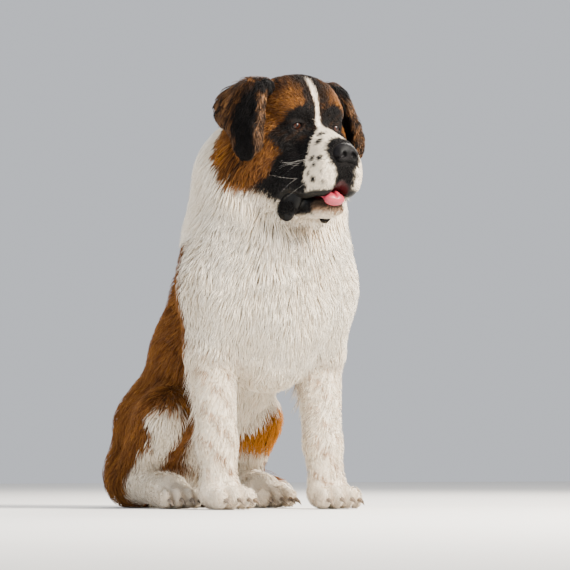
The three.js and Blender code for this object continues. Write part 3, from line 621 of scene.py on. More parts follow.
def clawMaterial():
    board = shaderBoard('claw_horn')
    streak = board.noise(240, 3, (1, 1, 0.25))
    colour = board.mix((streak * 1.5 - 0.3).clamped(), rgb(58, 48, 42), rgb(150, 132, 112))
    return board.set(baseColor=colour, roughness=0.3 + 0.25 * streak, normal=board.bump(streak, 0.0004, 0.5))


def eyeMaterial():      # the ring is how far a point lies from the middle of the pupil, in millimetres
    board = shaderBoard('eye_wet')
    ring = board.named('ring')
    spoke = board.noise(900, 2)
    far = ring / 14
    colour = board.add('ShaderNodeValToRGB', {'stops': [
        (0.0, (0.002, 0.002, 0.002)), (0.2, (0.002, 0.002, 0.002)), (0.23, rgb(38, 16, 9)),
        (0.4, rgb(64, 31, 15)), (0.5, rgb(26, 12, 8)), (0.55, (0.006, 0.003, 0.003)),
        (0.64, rgb(18, 11, 10)), (1.0, rgb(34, 18, 16))]}, {0: (far + spoke * 0.05 - 0.025).clamped()})
    return board.set(baseColor=colour, roughness=0.4, coatWeight=0.22, coatRoughness=0.03,
                     specularIORLevel=0.15)


def whiskerMaterial():
    board = shaderBoard('whisker')
    tip = board.named('tip')
    colour = board.mix(tip, rgb(176, 168, 158), rgb(214, 210, 204))
    return board.set(baseColor=colour, roughness=0.4 + 0.1 * tip)


# Pieces
def pieceOf(name, points, faces, material, values=None):
    mesh = bpy.data.meshes.new(name)
    corners = faces.shape[1]
    mesh.vertices.add(len(points))
    mesh.vertices.foreach_set('co', ((points + centring) / 1000).astype(np.float32).ravel())
    mesh.loops.add(faces.size)
    mesh.loops.foreach_set('vertex_index', faces.astype(np.int32).ravel())
    mesh.polygons.add(len(faces))
    mesh.polygons.foreach_set('loop_start', np.arange(0, faces.size, corners, dtype=np.int32))
    mesh.update(calc_edges=True)
    mesh.polygons.foreach_set('use_smooth', np.ones(len(faces), bool))
    for key, value in (values or {}).items():
        mesh.attributes.new(key, 'FLOAT', 'POINT').data.foreach_set('value', np.asarray(value, np.float32))
    mesh.materials.append(material)
    piece = bpy.data.objects.new(name, mesh)
    bpy.context.collection.objects.link(piece)
    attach(piece, 'root')
    return piece


# Markings: how tan, dark, stained, golden, bare or red each place is, in the body's frame and in the head's
markNames = ('tan', 'dark', 'stain', 'gold', 'lip', 'mouth')
saddleTop = {'y': [-150, 0], 'z': [588, 622]}
shankLine = {'z': [0, 30, 49, 95, 120, 140, 170, 205], 'y': [112, 108, 100, 62, 34, 0, -24, -22]}


def marked(tan, dark, stain=0, gold=0, lip=0, mouth=0):      # every marking as a full row of values
    return dict(zip(markNames, np.broadcast_arrays(tan, dark, stain, gold, lip, mouth)))


def streaky(p, squeeze, size, seed):      # like waver, but drawn out along the least squeezed axis
    return waver(p * squeeze, size, seed)


def kneeFront(p):      # the front of the left thigh, where one golden band crosses the white
    x, y, z = p.T
    return (x > 0) * smooth(60, 45, y) * smooth(-94, -84, y) * (z < 300)


def tanOnBody(p):
    x, y, z = p.T
    side = smooth(-9, 9, y + 150 + 9 * waver(p, 60, 1) + 4 * waver(p, 17, 2))
    below = np.interp(y, saddleTop['y'], saddleTop['z']) - z
    tan = side * smooth(0, 22, below + 20 * waver(p, 110, 3) + 9 * waver(p, 36, 26))
    tan *= 1 - smooth(6, -6, y + 84) * smooth(338, 326, z) * smooth(50, 60, abs(x))      # forelegs
    tan *= 1 - smooth(292, 276, z) * smooth(60, 40, y) * smooth(84, 66, abs(x + 5))      # belly
    shank = y - np.interp(z, shankLine['z'], shankLine['y'])
    outer = np.maximum(smooth(-138, -150, x), smooth(86, 70, z)) * (x < 0)
    tan *= 1 - smooth(4, -6, shank + 6 * waver(p, 30, 4)) * smooth(216, 202, z + 8 * waver(p, 34, 5)) * outer
    band = smooth(128, 138, z + 6 * waver(p, 30, 6)) * smooth(12, -8, z - (165 + (x - 33) * 0.85))
    front = kneeFront(p)
    tan = tan * (1 - front) + front * band
    tan *= 1 - smooth(112, 98, z) * smooth(76, 62, y) * smooth(24, 34, x)      # left hind foot
    return tan * (1 - smooth(66, 48, np.linalg.norm(p - tailTip, axis=1) + 8 * waver(p, 22, 7)))


def bodyMarks(p, normals=None):
    x, y, z = p.T
    tan = tanOnBody(p)
    withers = smooth(500, 560, z) * tan * (0.45 + 0.4 * waver(p, 40, 8))
    speck = smooth(0.22, 0.55, waver(p, 25, 9)) * smooth(380, 320, z) * smooth(20, 8, forelegField(p))
    throat = smooth(60, 0, abs(x - 10)) * smooth(560, 600, z) * (y < -250)
    # the stain value: brown speckles on the forelegs, more brown at the throat under the chin, and more again
    # over the lowest 60 mm
    stain = np.clip(speck + 0.5 * throat + 0.3 * smooth(60, 15, z), 0, 1)
    return marked(tan, np.clip(withers, 0, 1), stain, 0.85 * kneeFront(p))


blazeWay = {'y': [-160, -140, -129, -121, -114, -108, -100, -86, -75, -60, -52, -44],
            'middle': [0, 0, 0, -1, -4, -6, -7, -7, -6, -5, -5, -5],
            'half': [90, 72, 50, 32, 15, 8, 5.5, 6, 10, 8.5, 6, -4]}
maskBack = {'z': [-200, -148, -123, -110, -82, -58, -37, -28, 4, 30, 44, 50],
            'y': [-88, -46, -24, -44, -56, -70, -60, -46, -66, -82, -90, -140]}
freckles = [(-15, -130, -20, 5.5), (-22, -142, -34, 7), (-46, -148, -68, 6), (-44, -158, -80, 5.5),
            (-50, -136, -86, 5.5), (-42, -160, -108, 7), (-45, -134, -122, 9), (-34, -176, -92, 5),
            (-40, -168, -66, 6), (-28, -178, -112, 6), (-49, -148, -97, 5), (20, -146, -34, 6),
            (44, -152, -72, 6), (46, -140, -92, 7), (38, -164, -104, 6)]


def headMarks(q, normals):
    x, y, z = q.T
    beside = abs(x - np.interp(y, blazeWay['y'], blazeWay['middle']))
    wide = np.interp(y, blazeWay['y'], blazeWay['half'])
    blaze = smooth(-2.5, 2.5, wide - beside + 1.6 * waver(q, 15, 11)) * (z > np.where(y > -112, -45, -400))
    mask = smooth(-5, 5, np.interp(z, maskBack['z'], maskBack['y']) - y + 5 * waver(q, 26, 12))
    mask *= 1 - 0.06 * smooth(0, 0.6, streaky(q, [1, 0.6, 2], 17, 34)) * smooth(-45, -20, z)
    brow = smooth(30, 8, abs(abs(x) - 26)) * smooth(34, 56, z) * smooth(-20, -56, y)
    streak = np.clip(brow * (0.55 + 0.6 * streaky(q, [2.5, 1, 1], 22, 13)), 0, 1)
    crown = 0.9 * smooth(40, 84, z) * smooth(-0.6, 0.35, streaky(q, [2.2, 1, 1], 30, 14))
    seam = 0.96 * smooth(46, 24, beside + 5 * streaky(q, [2, 1, 1], 18, 22))
    seam *= smooth(26, 42, z) * smooth(-6, -40, y)
    collar = z - (-138 + (y + 35) * 0.45 + 7 * waver(q, 34, 16))
    wisp = smooth(0.05, 0.6, streaky(q, [1.4, 2.4, 0.7], 30, 24)) * smooth(-70, -20, y) * smooth(40, 10, z)
    wisp *= 0.8 * smooth(-4, 10, collar)
    dark = np.maximum.reduce([mask, streak, crown, seam, wisp]) * (1 - blaze)
    fromNose = np.linalg.norm((q - noseAt) * [1, 0.9, 1], axis=1)
    snout = smooth(43, 36, fromNose + 3 * waver(q, 9, 15)) * smooth(-140, -150, y)
    philtrum = smooth(31, 20, abs(x) + 5 * waver(q, 15, 27)) * smooth(-160, -172, y) * smooth(-62, -72, z)
    dark = np.maximum.reduce([dark, snout, philtrum])
    for *place, radius in freckles:
        away = np.linalg.norm((q - place) * [0.3, 1, 1], axis=1)
        dark = np.maximum(dark, smooth(1.5, 0.8, away / radius))
    tan = smooth(-8, 8, collar) * (1 - blaze) * (1 - smooth(-118, -130, y))
    gold = 0.4 * smooth(0.1, 0.7, streaky(q, [1, 1, 0.6], 40, 29))
    under = smooth(-0.25, -0.6, normals[:, 2]) * smooth(-92, -98, z) * smooth(90, 70, abs(x))
    inside = under * smooth(-96, -108, z) * smooth(24, 16, abs(x))
    inside *= smooth(-70, -80, y) * smooth(-186, -178, y)
    eye = eyeOffset(q)
    lids = smooth(16, 12.5, np.linalg.norm(eye * [0.85, 0.8, 1.25], axis=1)) * smooth(-74, -78, y)
    haw = smooth(13.5, 11.5, np.linalg.norm(eye * [0.9, 0.8, 1.1], axis=1)) * smooth(-5, -9, eye[:, 2])
    lip = np.maximum(under * smooth(-46, -62, y), lids) * (1 - 0.5 * haw)
    return marked(tan, dark, 0.12, gold, lip, np.maximum(inside, 0.4 * haw))


def jawMarks(q, normals=None):
    x, y, z = q.T
    hem = smooth(-176, -186, z + 4 * waver(q, 16, 25)) * smooth(-50, -60, y)
    flap = smooth(26, 33, abs(x)) * smooth(-122, -112, y) * np.maximum(hem, smooth(-90, -98, y))
    rim = smooth(-158, -152, z + 0.1 * (y + 100)) * smooth(8, 16, abs(x) + 0.25 * (y + 150))
    chin = smooth(-168, -176, z + 4 * waver(q, 16, 23))
    dark = np.maximum(0.85 * smooth(-170, -158, z), smooth(16, 26, abs(x)) * (y > -124))
    mouth = smooth(-150, -146, z) * smooth(30, 22, abs(x)) * (1 - flap)
    return marked(0.75 * (1 - chin), dark, 0.7 - 0.4 * chin, 0, np.maximum(flap, rim), mouth)


def earMarks(q, normals=None):
    _, y, z = q.T
    edge = smooth(11, 7, y - np.interp(z, *earEdge) + 2 * waver(q, 14, 21))
    edge *= smooth(70, 54, z) * smooth(-72, -60, z)
    curl = smooth(-2, 26, y + 9 * waver(q, 20, 17)) * smooth(-46, -24, z + 8 * waver(q, 20, 18))
    crown = smooth(56, 84, z) * smooth(-20, 0, y + 8 * waver(q, 16, 19))
    curls = np.maximum(curl, edge)
    golden = np.clip(0.3 + 0.8 * streaky(q, [1, 2.2, 0.7], 13, 20), 0, 1)
    return marked(1 - 0.13 * curls, 1 - np.maximum(curls, crown) * golden, 1)


# Skin: body and head are one form, cut under the ruff where the meshes change from coarse to fine
bodyCell, headCell = 6.6, 2.5
bodyGrid = distanceGrid(skinField, [-270, -400, -12], [310, 430, 880], 9)
headGrid = distanceGrid(headSkinField, [-150, -240, -230], [150, 150, 120], 5)


def partGrid(masses, depth, low, high):      # masses drawn in by the depth of their coat
    field = blended(masses)
    return distanceGrid(lambda q: field(q) + depth, low, high, 5)


jawGrid = partGrid(jawMasses(), coatDepth['jaw'], [-90, -200, -240], [90, 30, -80])
earGrids = {}
for name, s in sides.items():
    low, high = sorted([s * 40, s * 190])
    earGrids[name] = partGrid(earMasses(s), coatDepth['ear'], [low, -110, -130], [high, 130, 130])
print('distance grids ready')

bodySkin = surfaceOf(bodyGrid, bodyCell)
bodySkin = keptPart(*bodySkin, headShare(bodySkin[0]) < 8)
headSkin = surfaceOf(headGrid, headCell)
headSkin = keptPart(*headSkin, headShare(fromHead(headSkin[0])) > -6)
jawSkin = surfaceOf(jawGrid, headCell)
earSkins = {name: surfaceOf(grid, headCell) for name, grid in earGrids.items()}
earHeights = np.arange(-96, 96, 8)
rightEar = earSkins['right'][0]
earEdge = (earHeights + 4, [rightEar[abs(rightEar[:, 2] - h - 4) < 6, 1].min(initial=60) for h in earHeights])


def skinPatches():      # every island of skin, its marks, and whether it stands in the head's frame
    yield bodySkin, bodyMarks(bodySkin[0]), False
    yield headSkin, headMarks(headSkin[0], normalsOf(*headSkin)), True
    yield jawSkin, jawMarks(jawSkin[0]), True
    for earSkin in earSkins.values():
        yield earSkin, earMarks(earSkin[0]), True


patches = list(skinPatches())
skinPoints = np.concatenate([fromHead(s[0]) if inHead else s[0] for s, _, inHead in patches])
starts = np.cumsum([0] + [len(s[0]) for s, _, _ in patches])
skinFaces = np.concatenate([s[1] + start for (s, _, _), start in zip(patches, starts)])
skinValues = {key: np.concatenate([marks[key] for _, marks, _ in patches]) for key in markNames}
skin = pieceOf('skin', skinPoints, skinFaces, skinMaterial(), skinValues)
fleshNodes = ['head', 'lower_jaw', 'neck', 'torso', 'tail', *[f'ear_{name}' for name in sides]]
fleshNodes += [f'{part}_{name}' for part in ('foreleg', 'forepaw', 'hindleg', 'hindpaw') for name in sides]
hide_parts(*fleshNodes)
print('skin', len(skinFaces) * 2, 'triangles')

# Which way the hair lies: each place with its direction and reach, in the body's frame and in the head's
def mirrored(at, way, reach):
    return [([s * at[0], *at[1:]], [s * way[0], *way[1:]], reach) for s in sides.values()]


bodyLie = [
    ([0, -310, 480], [0, -0.1, -1], 90), *mirrored([60, -300, 560], [0.5, -0.2, -1], 60),
    ([-105, -285, 520], [-0.8, 0.1, -0.7], 42), ([15, -310, 520], [0.8, -0.1, -0.7], 42),
    ([-100, -270, 430], [-0.5, 0, -1], 50), ([25, -310, 430], [0.5, 0, -1], 50),
    ([0, -330, 600], [0, -0.3, -1], 60), ([0, -40, 660], [0, 0.6, -1], 90),
    ([160, -160, 620], [0.2, 0.35, -1], 90), ([-150, -160, 620], [-0.2, 0.35, -1], 90),
    *mirrored([175, -170, 470], [0, 0.15, -1], 90),
    ([0, -20, 540], [0, 0.8, -1], 90), ([-12, 120, 420], [0, 0.6, -1], 90),
    ([-150, 20, 360], [-0.1, 0.7, -1], 90), ([125, 20, 360], [0.1, 0.7, -1], 90),
    ([-170, 120, 170], [-0.1, 0.15, -1], 80), ([120, 120, 170], [0.1, 0.15, -1], 80),
    ([-20, 250, 220], [0, 0.3, -1], 90), ([-20, 270, 90], [0, 1, -0.4], 70),
    ([-180, 0, 170], [0, 0.35, -1], 60), ([0, -60, 240], [0, 0.3, -1], 70),
    ([-126, -170, 230], [0, 0.3, -1], 70), ([118, -180, 230], [0, 0.3, -1], 70),
    ([-127, -200, 60], [0, -0.3, -1], 40), ([118, -220, 60], [0, -0.3, -1], 40),
    ([-127, -250, 30], [0, -1, -0.5], 35), ([118, -270, 30], [0, -1, -0.5], 35),
    ([-154, -80, 30], [0, -1, -0.4], 45), ([84, -60, 30], [0, -1, -0.4], 45),
    ([-190, 100, 60], [0, -0.5, -1], 50), ([110, 100, 60], [0, -0.5, -1], 50),
    *[((np.array(a) + b) / 2, unit(np.array(b, float) - a) - [0, 0, 0.25], 45)
      for (a, _), (b, _) in zip(tailPath, tailPath[1:])],
]
headLie = [
    ([0, -150, -20], [0, 1, 0.2], 40), ([0, -85, 50], [0, 0.5, 1], 40), ([0, -20, 100], [0, 1, 0.2], 50),
    ([0, 60, 80], [0, 1, -0.5], 50), ([0, 110, 20], [0, 0.5, -1], 60), ([0, 20, -160], [0, 0.3, -1], 60),
    *mirrored([80, -30, 40], [0.2, 1, -0.2], 40), *mirrored([90, 10, -60], [0.1, 0.6, -1], 50),
    *mirrored([80, -10, -130], [0, 0.4, -1], 50), *mirrored([50, -130, -70], [0, 0.8, -0.6], 40),
    *mirrored([45, -135, -130], [0, 0.4, -1], 30), *mirrored([68, -64, -40], [0, 0.8, -0.7], 35),
    *mirrored([20, -188, -95], [0.6, 0.2, -1], 22),
]
jawLie = [([0, -150, -170], [0, 0.6, -1], 40), ([0, -60, -180], [0, 1, -0.5], 60)]
earLie = [*mirrored([100, -30, 70], [0.4, -0.5, -1], 40), *mirrored([120, 60, 40], [0.1, 0.5, -1], 50),
          *mirrored([122, -10, -40], [0, -0.05, -1], 50)]


def lieAt(p, table):
    total = np.zeros_like(p)
    for centre, way, reach in table:
        weight = np.exp(-((p - np.array(centre)) ** 2).sum(1) / (2 * reach ** 2)) + 1e-7
        total += weight[:, None] * unit(np.array(way, float))
    return unit(total)


# Tufts: each is a thin tapered blade with three faces, its root in the skin and its tip at the coat's height
tuftLook = {'fullness': 0.98, 'sink': 1.5, 'ridge': 0.4, 'sway': 0.2, 'flow': 0.45, 'patch': 0.003,
            'bodyAstray': 4.5, 'headAstray': 1.2, 'lowest': 1.0}
tuftRows = {'fine': ([0, 0.5, 1.0], [0.9, 0.8]), 'long': ([0, 0.35, 0.7, 1.0], [0.8, 1.0, 0.7]),
            'crimped': ([0, 0.22, 0.44, 0.66, 0.86, 1.0], [0.8, 1.0, 1.0, 0.9, 0.7])}


def scattered(skinPart, density):      # roots spread over the faces, so many to a square centimetre
    points, quads = skinPart
    tris = np.concatenate([quads[:, [0, 1, 2]], quads[:, [0, 2, 3]]])
    a, b, c = (points[tris[:, i]] for i in range(3))
    area = np.linalg.norm(np.cross(b - a, c - a), axis=1) / 200      # square centimetres
    normals = normalsOf(points, quads)
    total = np.cumsum(area * density((a + b + c) / 3, unit(normals[tris].sum(1))))
    picks = np.searchsorted(total, dice.random(int(total[-1])) * total[-1])
    u, v = dice.random((2, len(picks), 1))
    u, v = np.where(u + v > 1, 1 - u, u), np.where(u + v > 1, 1 - v, v)
    na, nb, nc = (normals[tris[picks, i]] for i in range(3))
    roots = a[picks] + u * (b[picks] - a[picks]) + v * (c[picks] - a[picks])
    return roots, unit(na + u * (nb - na) + v * (nc - na))


def clumped(paths, size, pull):      # hair in one clump leans towards the clump's middle at its tips
    roots = paths[:, 0]
    uneven = np.stack([waver(roots, 3 * size, seed) for seed in (31, 32, 33)], 1)
    cells = np.floor((roots + 0.35 * size * uneven) / size)
    _, clump = np.unique(cells.astype(int), axis=0, return_inverse=True)
    clump = clump.ravel()
    count = np.bincount(clump)
    pull = np.broadcast_to(pull, len(roots))[:, None]
    for i in range(1, paths.shape[1]):
        middle = np.stack([np.bincount(clump, paths[:, i, axis]) / count for axis in range(3)], 1)[clump]
        paths[:, i] += pull * (i / (paths.shape[1] - 1)) ** 1.5 * (middle - paths[:, i])
    return paths, dice.random(len(count))[clump]


def combed(grid, roots, normals, lies, size, steps):
    # size holds each tuft's length, height over the skin, how free its tip stands, and its curl
    count = len(roots)
    paths = [roots - tuftLook['sink'] * normals]
    turn = dice.normal(0, tuftLook['sway'], (count, 1)) + tuftLook['flow'] * waver(roots, 70, 41)[:, None]
    lies = unit(lies + turn * np.cross(normals, lies) + 0.06 * dice.normal(size=(count, 3)))
    phase = dice.random((count, 1)) * 6.3
    for i in range(1, len(steps)):
        last = paths[-1]
        _, out = grid.look(last)
        way = unit(lies - 0.97 * (lies * out).sum(1, keepdims=True) * out)
        following = last + way * (size['length'] * (steps[i] - steps[i - 1]))[:, None]
        distance, out = grid.look(following)
        height = size['height'] * min(1, steps[i] * 1.4) + size['free'] * steps[i] ** 2 * size['length']
        following = following + out * (height - distance)[:, None]
        if 'curl' in size:
            side = np.cross(out, way)
            following = following + side * np.sin(phase + 2.6 * i) * size['curl']
        paths.append(following)
    return np.stack(paths, 1)


def bladesOf(paths, normals, width, widths):      # three points round each place on a path, one at the tip
    count, rows = paths.shape[0], paths.shape[1] - 1
    along = unit(paths[:, 1:] - paths[:, :-1])
    across = unit(np.cross(normals[:, None], along))
    out = np.cross(along, across)
    half = (width / 2)[:, None, None] * np.array(widths)[None, :, None]
    base = paths[:, :rows]
    ridge = base + out * half * 2 * tuftLook['ridge']
    rings = np.stack([base - across * half, base + across * half, ridge], 2)
    points = np.concatenate([rings.reshape(count, rows * 3, 3), paths[:, -1:]], 1)
    pattern = [(0, 2, 1)]
    for i in range(rows - 1):
        for j in range(3):
            a, b = 3 * i + j, 3 * i + (j + 1) % 3
            pattern += [(a, b, b + 3), (a, b + 3, a + 3)]
    last = 3 * (rows - 1)
    pattern += [(last + j, last + (j + 1) % 3, rows * 3) for j in range(3)]
    each = rows * 3 + 1
    faces = (np.arange(count)[:, None, None] * each + np.array(pattern)[None]).reshape(-1, 3)
    tip = np.concatenate([np.repeat(np.arange(rows) / rows, 3), [1.0]])
    return points, faces, np.tile(tip, (count, 1)), each


def unrolled(roots, normals):      # the skin of a piece rolled out round its own axis, 0 to 1
    middle = roots.mean(0)
    spread = np.linalg.svd(roots[::7] - middle, full_matrices=False)[2]
    axis = spread[0]
    u = np.arctan2(normals @ spread[2], normals @ spread[1]) / (2 * np.pi) + 0.5
    v = (roots - middle) @ axis
    v = (v - v.min()) / (np.ptp(v) + 1e-9)
    return np.stack([0.01 + 0.98 * u, 0.01 + 0.98 * v], 1)


coatMarks = ('tan', 'dark', 'stain', 'gold')
coatPaint = coatMaterial()
coatPieces = {}      # triangles of each


def grow(name, grid, skinPart, inHead, marks, table, shape, rows, slot):
    # shape gives for each root the length, width, height, density and so on; fine tufts have fewer rows
    roots, normals = scattered(skinPart, lambda p, n: shape(p, n)['density'] * tuftLook['fullness'])
    size = shape(roots, normals)
    vary = 1 + 0.3 * (dice.random(len(roots)) - 0.5)
    rise = 0.6 + 0.48 * dice.random(len(roots))
    size = {**size, 'length': size['length'] * vary, 'height': size['height'] * rise}
    steps, widths = tuftRows[rows]
    paths = combed(grid, roots, normals, lieAt(roots, table), size, steps)
    paths, clumpTone = clumped(paths, size['clump'], size['pull'])
    points, faces, tips, each = bladesOf(paths, normals, size['width'], widths)
    tone = np.clip(0.5 * clumpTone + 0.5 * dice.random(len(roots)), 0, 1)
    astray = tuftLook['headAstray' if inHead else 'bodyAstray'] * dice.normal(size=roots.shape)
    found = marks(roots + astray, normals)      # so that hairs of either colour mix at an edge
    values = {key: np.repeat(found[key], each) for key in coatMarks}
    values |= {'tone': np.repeat(tone, each), 'tip': tips.ravel()}
    flatPoints = points.reshape(-1, 3)
    flatPoints = fromHead(flatPoints) if inHead else flatPoints
    flatPoints[:, 2] = np.maximum(flatPoints[:, 2], tuftLook['lowest'])
    piece = pieceOf(name, flatPoints, faces, coatPaint, values)
    place = unrolled(roots, normals)
    across = np.array([-0.5, 0.5, 0.0] * len(widths) + [0.0]) * tuftLook['patch']
    down = (tips[0] - 0.5) * tuftLook['patch']
    uv = place[:, None] + np.stack([across, down], 1)[None]
    layer = piece.data.uv_layers.new(name='OFBake')
    layer.data.foreach_set('uv', uv.reshape(-1, 2)[faces.ravel()].astype(np.float32).ravel())
    coatPieces[name] = len(faces)
    print(name, len(roots), 'tufts', len(faces), 'triangles')


bodyCoat = {'back': 36, 'thigh': 50, 'neck': 66, 'chest': 74, 'leg': 15, 'feather': 60, 'shin': 22,
            'tail': 72, 'paw': 8, 'perSquareCm': 6.0}
faceCoat = {'muzzle': 7.5, 'browGain': 8, 'cheek': 48, 'nape': 24, 'perSquareCm': 16}
jawCoat = {'length': 11, 'width': 1.2, 'height': 2.5, 'free': 0.1}
earCoat = {'length': 13, 'curlGain': 22, 'height': 3.5, 'perSquareCm': 10, 'curl': 3.2}
tailField = blended(tailMasses())
earsField = blended(earMasses(-1) + earMasses(1))


def bodyShape(p, normals):
    x, y, z = p.T
    leg = smooth(30, 8, forelegField(p)) * smooth(345, 290, z)
    feather = leg * smooth(-160, -128, y) * smooth(80, 150, z)
    shares = {
        'thigh': smooth(260, 150, z) * smooth(40, 130, y),
        'neck': smooth(540, 620, z),
        'chest': smooth(-190, -260, y) * smooth(260, 400, z),
        'leg': leg,
        'feather': feather,
        'shin': smooth(150, 90, z) * smooth(120, 60, y) * smooth(-130, -90, y),
        'tail': smooth(30, 10, tailField(p)) * smooth(170, 220, y),
        'paw': smooth(16, 2, pawField(p)),
    }
    length = bodyCoat['back'] + 0 * x
    for key, share in shares.items():
        length += (bodyCoat[key] - length) * share
    ruff = np.clip(smooth(560, 620, z) + smooth(-180, -240, y) * smooth(270, 340, z), 0, 1)
    density = bodyCoat['perSquareCm'] * (30 / length) ** 0.62 * (1 + 1.1 * ruff) * (1 - 0.25 * leg)
    return {'length': length, 'width': 0.9 + 0.024 * length,
            'height': bodyDepth(p) + 2.4 * waver(p, 40, 30) * ruff,
            'free': 0.05 * smooth(30, 70, length) + 0.45 * feather + 0.07 * smooth(480, 600, z),
            'density': density, 'clump': 11, 'pull': 0.1 + 0.2 * smooth(15, 55, length),
            'curl': (0.02 * length)[:, None]}


def bareSkin(marks):      # lips, lids and mouth carry no hair
    return smooth(0.3, 0.6, np.clip(marks['lip'] + marks['mouth'], 0, 1))


def faceShape(q, normals):
    _, y, z = q.T
    length = faceCoat['muzzle'] + faceCoat['browGain'] * smooth(-110, -40, y)
    length += (faceCoat['cheek'] - length) * smooth(-50, 20, y) * smooth(10, -60, z)
    length += (faceCoat['nape'] - length) * smooth(20, 80, y) * smooth(0, 60, z)
    eye = np.linalg.norm(eyeOffset(q) + [0, 6, 0], axis=1)
    nose = np.linalg.norm((q - noseAt) / [27, 24, 21], axis=1)
    ok = (1 - bareSkin(headMarks(q, normals))) * smooth(13, 16, eye)
    ok *= smooth(0.95, 1.05, nose) * smooth(0, 3, earsField(q))
    density = ok * faceCoat['perSquareCm'] * (10 / length) ** 0.45
    return {'length': length, 'width': 0.75 + 0.035 * length, 'height': headDepth(q),
            'free': 0.04 * smooth(20, 50, length), 'density': density,
            'clump': 7, 'pull': 0.1 + 0.25 * smooth(10, 45, length)}


def jawShape(q, normals):
    ok = (1 - bareSkin(jawMarks(q))) * (q[:, 1] < -12)
    shape = {key: np.full(len(q), value) for key, value in jawCoat.items()}
    return {**shape, 'density': 14 * ok, 'clump': 6, 'pull': 0.25}


def earShape(q, normals):
    curly = smooth(-10, 25, q[:, 1])
    return {'length': earCoat['length'] + earCoat['curlGain'] * curly, 'width': 1.3 + 0.6 * curly,
            'height': earCoat['height'] + curly * (3 + 3 * waver(q, 17, 28)),
            'free': 0.12 * curly, 'density': earCoat['perSquareCm'] - 3.5 * curly,
            'clump': 10, 'pull': 0.15 + 0.5 * curly, 'curl': (0.3 + earCoat['curl'] * curly)[:, None]}


def bodyRegion(p):      # 0 neck, 1 chest, 2 back, 3 rump, 4 forelegs, 5 hind legs, 6 tail
    x, y, z = p.T
    region = np.full(len(p), 2)
    region[(z < 262) & (y > -60)] = 3
    region[(y <= -150) & (z > 300)] = 1
    region[z > 585] = 0
    region[(y < -70) & (z <= 330) & (abs(x) > 50)] = 4
    region[(z < 120) & (y < 100) & (y > -150) & (abs(x) > 34)] = 5
    region[(tailField(p) < 6) & (y > 210) & (z < 130)] = 6
    return region


bodyPieces = {'coat_neck': 'white_coat', 'coat_chest': 'white_coat', 'coat_back': 'tan_coat',
              'coat_rump': 'tan_coat', 'coat_forelegs': 'white_coat', 'coat_hind_feet': 'white_coat',
              'coat_tail': 'tan_coat'}
middles = bodySkin[0][bodySkin[1]].mean(1)
regionOf = bodyRegion(middles)
for index, (name, slotName) in enumerate(bodyPieces.items()):
    rows = 'fine' if name in ('coat_forelegs', 'coat_hind_feet') else 'long'
    for sideName, side in sides.items():
        part = (bodySkin[0], bodySkin[1][(regionOf == index) & (middles[:, 0] * side >= 0)])
        grow(f'{name}_{sideName}', bodyGrid, part, False, bodyMarks, bodyLie, bodyShape, rows, slotName)

headMiddles = headSkin[0][headSkin[1]].mean(1)
frontOf = headMiddles[:, 1] < -62
sideOf = ~frontOf & (headMiddles[:, 2] < 0)
for name, pick in (('coat_face', frontOf), ('coat_cheeks', sideOf), ('coat_skull', ~frontOf & ~sideOf)):
    grow(name, headGrid, (headSkin[0], headSkin[1][pick]), True, headMarks, headLie, faceShape,
         'long' if name == 'coat_cheeks' else 'fine', 'dark_coat' if name == 'coat_face' else 'tan_coat')
grow('coat_chin', jawGrid, jawSkin, True, jawMarks, jawLie, jawShape, 'fine', 'white_coat')
for name in sides:
    grow('coat_ear_' + name, earGrids[name], earSkins[name], True, earMarks, earLie, earShape,
         'crimped', 'dark_coat')
print('coat', sum(coatPieces.values()), 'triangles')

# Nose, tongue and eyes
noseGrid = distanceGrid(blended(noseMasses()), [-45, -222, -100], [45, -140, -10], 3)
nosePoints, noseFaces = surfaceOf(noseGrid, 1.2)
nose = pieceOf('nose_leather', fromHead(nosePoints), noseFaces, noseMaterial())
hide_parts('nose')
tongueGrid = distanceGrid(blended(tongueMasses()), [-50, -210, -190], [50, -50, -100], 4)
tonguePoints, tongueFaces = surfaceOf(tongueGrid, 1.8)
tongue = pieceOf('tongue_flesh', fromHead(tonguePoints), tongueFaces, tongueMaterial())
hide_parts('tongue')

eyeLook = {'radius': 13.0, 'cornea': 1.3, 'corneaReach': 7.0, 'outward': 0.2, 'down': 0.02}
eyePaint = eyeMaterial()


def ballPoints(radius, rings, around):
    theta = np.pi * np.arange(1, rings) / rings
    phi = 2 * np.pi * np.arange(around) / around
    ring = np.stack([np.outer(np.sin(theta), np.cos(phi)), np.repeat(np.cos(theta)[:, None], around, 1),
                     np.outer(np.sin(theta), np.sin(phi))], -1).reshape(-1, 3)
    points = radius * np.concatenate([ring, [[0, 1, 0], [0, -1, 0]]])
    a = np.arange((rings - 2) * around).reshape(rings - 2, around)
    b = np.roll(a, -1, axis=1)
    top, end = (rings - 1) * around, (rings - 2) * around
    faces = np.concatenate([np.stack([a, b, b + around], -1), np.stack([a, b + around, a + around], -1)])
    faces = faces.reshape(-1, 3)
    row = np.arange(around)
    following = np.roll(row, -1)
    caps = [np.stack([following, row, np.full_like(row, top)], 1),
            np.stack([end + row, end + following, np.full_like(row, top + 1)], 1)]
    return points, np.concatenate([faces, *caps])


for name, s in sides.items():
    ball, ballFaces = ballPoints(eyeLook['radius'], 40, 56)
    gaze = unit(np.array([s * eyeLook['outward'], -1, -eyeLook['down']]))
    ahead = unit(ball) @ gaze
    ring = eyeLook['radius'] * np.arccos(np.clip(ahead, -1, 1))
    bulge = eyeLook['cornea'] * (1 - smooth(0, eyeLook['corneaReach'], ring))
    ball = ball * (1 + bulge / eyeLook['radius'])[:, None] + eyeAt * [s, 1, 1]
    eye = pieceOf('eyeball_' + name, fromHead(ball), ballFaces, eyePaint, {'ring': ring})
    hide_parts('eye_' + name)
print('nose, tongue and eyes done')

# Whiskers: long curved bristles from the flews
whiskerLook = {'perSide': 9, 'length': 50, 'radius': 0.15, 'taper': 0.85, 'sides': 4, 'rows': 12}


